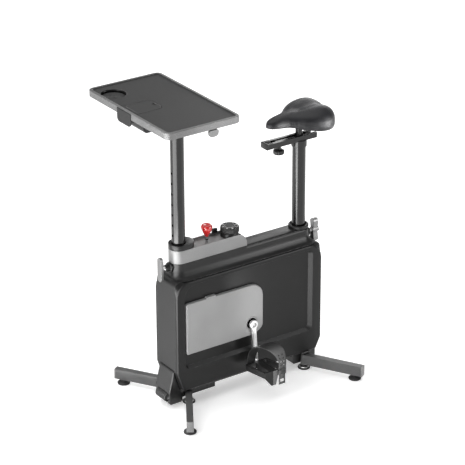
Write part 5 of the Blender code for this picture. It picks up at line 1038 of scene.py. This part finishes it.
def arcPoints(x, y, radius, height, first, count, turn):
    # Points along part of a circle, from an angle in degrees
    centre = Vector((x, y, height))
    return [centre + heading(math.radians(first + step * turn), radius) for step in range(count)]


piece("cupMat", cupMat(), traySkin, "tray")
# A thin black ring on the cup's inner wall: painted shade of the recess
shadeRing = [(cupLook["radius"] - 0.0002, 1.1692), (cupLook["radius"] - 0.0002, 1.1798),
         (cupLook["radius"] - 0.0014, 1.1796), (cupLook["radius"] - 0.0018, 1.1692)]
piece("cupLiner", hoop("cupLiner", shadeRing, cupCentre, 96), pianoBlack, "tray")
# A raised bead round the cup's rim, pale grey as a painted highlight
bead = arcPoints(cupLook["x"], cupLook["y"], cupLook["radius"] + 0.0004, cupLook["top"], 0, 96, 3.75)
piece("cupBead", tube("cupBead", bead, 0.0008, True), legGrey, "tray")

standLook = {
    "front": -0.4022, "rear": -0.2998, "near": -0.0372, "far": 0.0522, "corner": 0.022, "top": 1.1799,
    "lipLow": (-0.4022, -0.0240, 1.1795), "lipHigh": (-0.3988, 0.0390, 1.1813),
    "notchLow": (-0.3040, -0.0030, 1.1795), "notchHigh": (-0.3005, 0.0180, 1.1808)}


def standBead():
    # A fine raised line round the flip-up stand
    path = []
    corner, top = standLook["corner"], standLook["top"]
    rear, far = standLook["rear"] - corner, standLook["far"] - corner
    front, near = standLook["front"] + corner, standLook["near"] + corner
    for x, y, first in ((rear, far, 0), (front, far, 90), (front, near, 180), (rear, near, 270)):
        path += arcPoints(x, y, corner, top, first, 9, 11.25)
    return tube("standBead", path, 0.0007, True)


lipBar = block(standLook["lipLow"], standLook["lipHigh"], 0.0006)
notch = block(standLook["notchLow"], standLook["notchHigh"], 0.0005)
piece("standBead", combined("standBead", [standBead(), lipBar, notch]), legGrey, "stand_flap")
print("tray dressed")


# Camera, floor and lights

shot = {
    "target": (0.0121, 0.0, 0.61298), "turn": 34.328, "rise": 24.663, "distance": 8.0152,
    "roll": -0.227, "lens": 171.36}
studio = {
    "world": 0.30, "floor": 0.92, "sun": 2.3, "key": 60.0, "rim": 40.0,
    "glow": 0.40}
# Tall cards that only show as reflections: middle, what they face, width, height, brightness
cards = {
    "postCard": ((-1.0, -0.30, 0.50), (0.0, -0.30, 0.50), 1.1, 1.0, 6.0),
    "bodyCard": ((-0.66, -0.28, 0.24), (0.0, -0.20, 0.24), 0.7, 0.46, 6.0),
    "recessCard": ((0.085, -0.245, 0.21), (0.28, -0.07, 0.21), 0.14, 0.40, 7.0),
    "toeCard": ((-0.43, -0.10, 0.05), (-0.28, -0.05, 0.05), 0.18, 0.10, 7.0),
    "saddleCard": ((1.15, -1.19, 1.51), (0.28, -0.08, 1.0), 0.9, 1.2, 5.0),
    "edgeCard": ((0.90, -1.35, 0.85), (0.05, -0.07, 0.20), 1.2, 0.4, 5.0),
    "skirtCard": ((1.08, -1.25, 0.50), (0.30, -0.10, 0.99), 1.2, 0.9, 20.0)}


def placeCamera():
    turn, rise, roll = (math.radians(shot[key]) for key in ("turn", "rise", "roll"))
    back = Vector((-math.sin(turn) * math.cos(rise), -math.cos(turn) * math.cos(rise), math.sin(rise)))
    across = (-back).cross(Vector((0, 0, 1))).normalized()
    up = across.cross(-back)
    tilted = across * math.cos(roll) + up * math.sin(roll)
    upright = up * math.cos(roll) - across * math.sin(roll)
    camera = bpy.data.objects.new("studioCamera", bpy.data.cameras.new("studioCamera"))
    camera.data.lens = shot["lens"]
    camera.data.sensor_width = 36.0
    camera.data.clip_end = 200.0
    turned = Matrix((tilted, upright, back)).transposed().to_4x4()
    turned.translation = Vector(shot["target"]) + back * shot["distance"]
    camera.matrix_world = turned
    scene.collection.objects.link(camera)
    scene.camera = camera


def softbox(name, place, aim, wide, high, power):
    light = bpy.data.objects.new(name, bpy.data.lights.new(name, "AREA"))
    light.data.shape = "RECTANGLE"
    light.data.size = wide
    light.data.size_y = high
    light.data.energy = power
    light.location = place
    light.rotation_euler = (Vector(aim) - Vector(place)).to_track_quat("-Z", "Y").to_euler()
    scene.collection.objects.link(light)
    return light


def reflectionCard(name, place, aim, wide, high, level):
    card = softbox(name, place, aim, wide, high, level * math.pi * wide * high)
    card.visible_camera = False
    card.visible_diffuse = False


def paleFloor():
    mesh = bpy.data.meshes.new("floor")
    made = bmesh.new()
    bmesh.ops.create_grid(made, x_segments=1, y_segments=1, size=60.0)
    made.to_mesh(mesh)
    made.free()
    floor = bpy.data.objects.new("floor", mesh)
    scene.collection.objects.link(floor)
    finish = Finish("floorPaper", Roughness=0.8, Emission_Strength=studio["glow"])
    cloud = finish.noise(0.8, 2.0, 0.5)
    level = studio["floor"]
    finish.feed("Base Color", finish.mix(cloud, level, level * 1.01))
    finish.feed("Emission Color", finish.mix(cloud, 0.98, 1.0))
    mesh.materials.append(finish.material)


placeCamera()
paleFloor()
overhead = bpy.data.objects.new("overheadSky", bpy.data.lights.new("overheadSky", "SUN"))
overhead.data.energy = studio["sun"]
overhead.data.angle = math.radians(75)
overhead.rotation_euler = (math.radians(-14), math.radians(-12), 0)
scene.collection.objects.link(overhead)
softbox("keySoftbox", (-4.2, -0.9, 1.9), (0, 0, 0.7), 1.6, 2.6, studio["key"])
softbox("rimSoftbox", (3.2, 3.0, 2.4), (0, 0, 0.7), 1.6, 2.4, studio["rim"])
for name, card in cards.items():
    reflectionCard(name, *card)
# This card shows in the saddle alone
onlySaddle = bpy.data.collections.new("onlySaddle")
onlySaddle.objects.link(cushion)
bpy.data.objects["skirtCard"].light_linking.receiver_collection = onlySaddle
scene.world = bpy.data.worlds.new("studioWorld")
scene.world.use_nodes = True
backdrop = scene.world.node_tree.nodes["Background"]
backdrop.inputs["Color"].default_value = (1, 1, 1, 1)
backdrop.inputs["Strength"].default_value = studio["world"]
scene.view_settings.view_transform = "Standard"
scene.view_settings.look = "None"
print("studio lit")
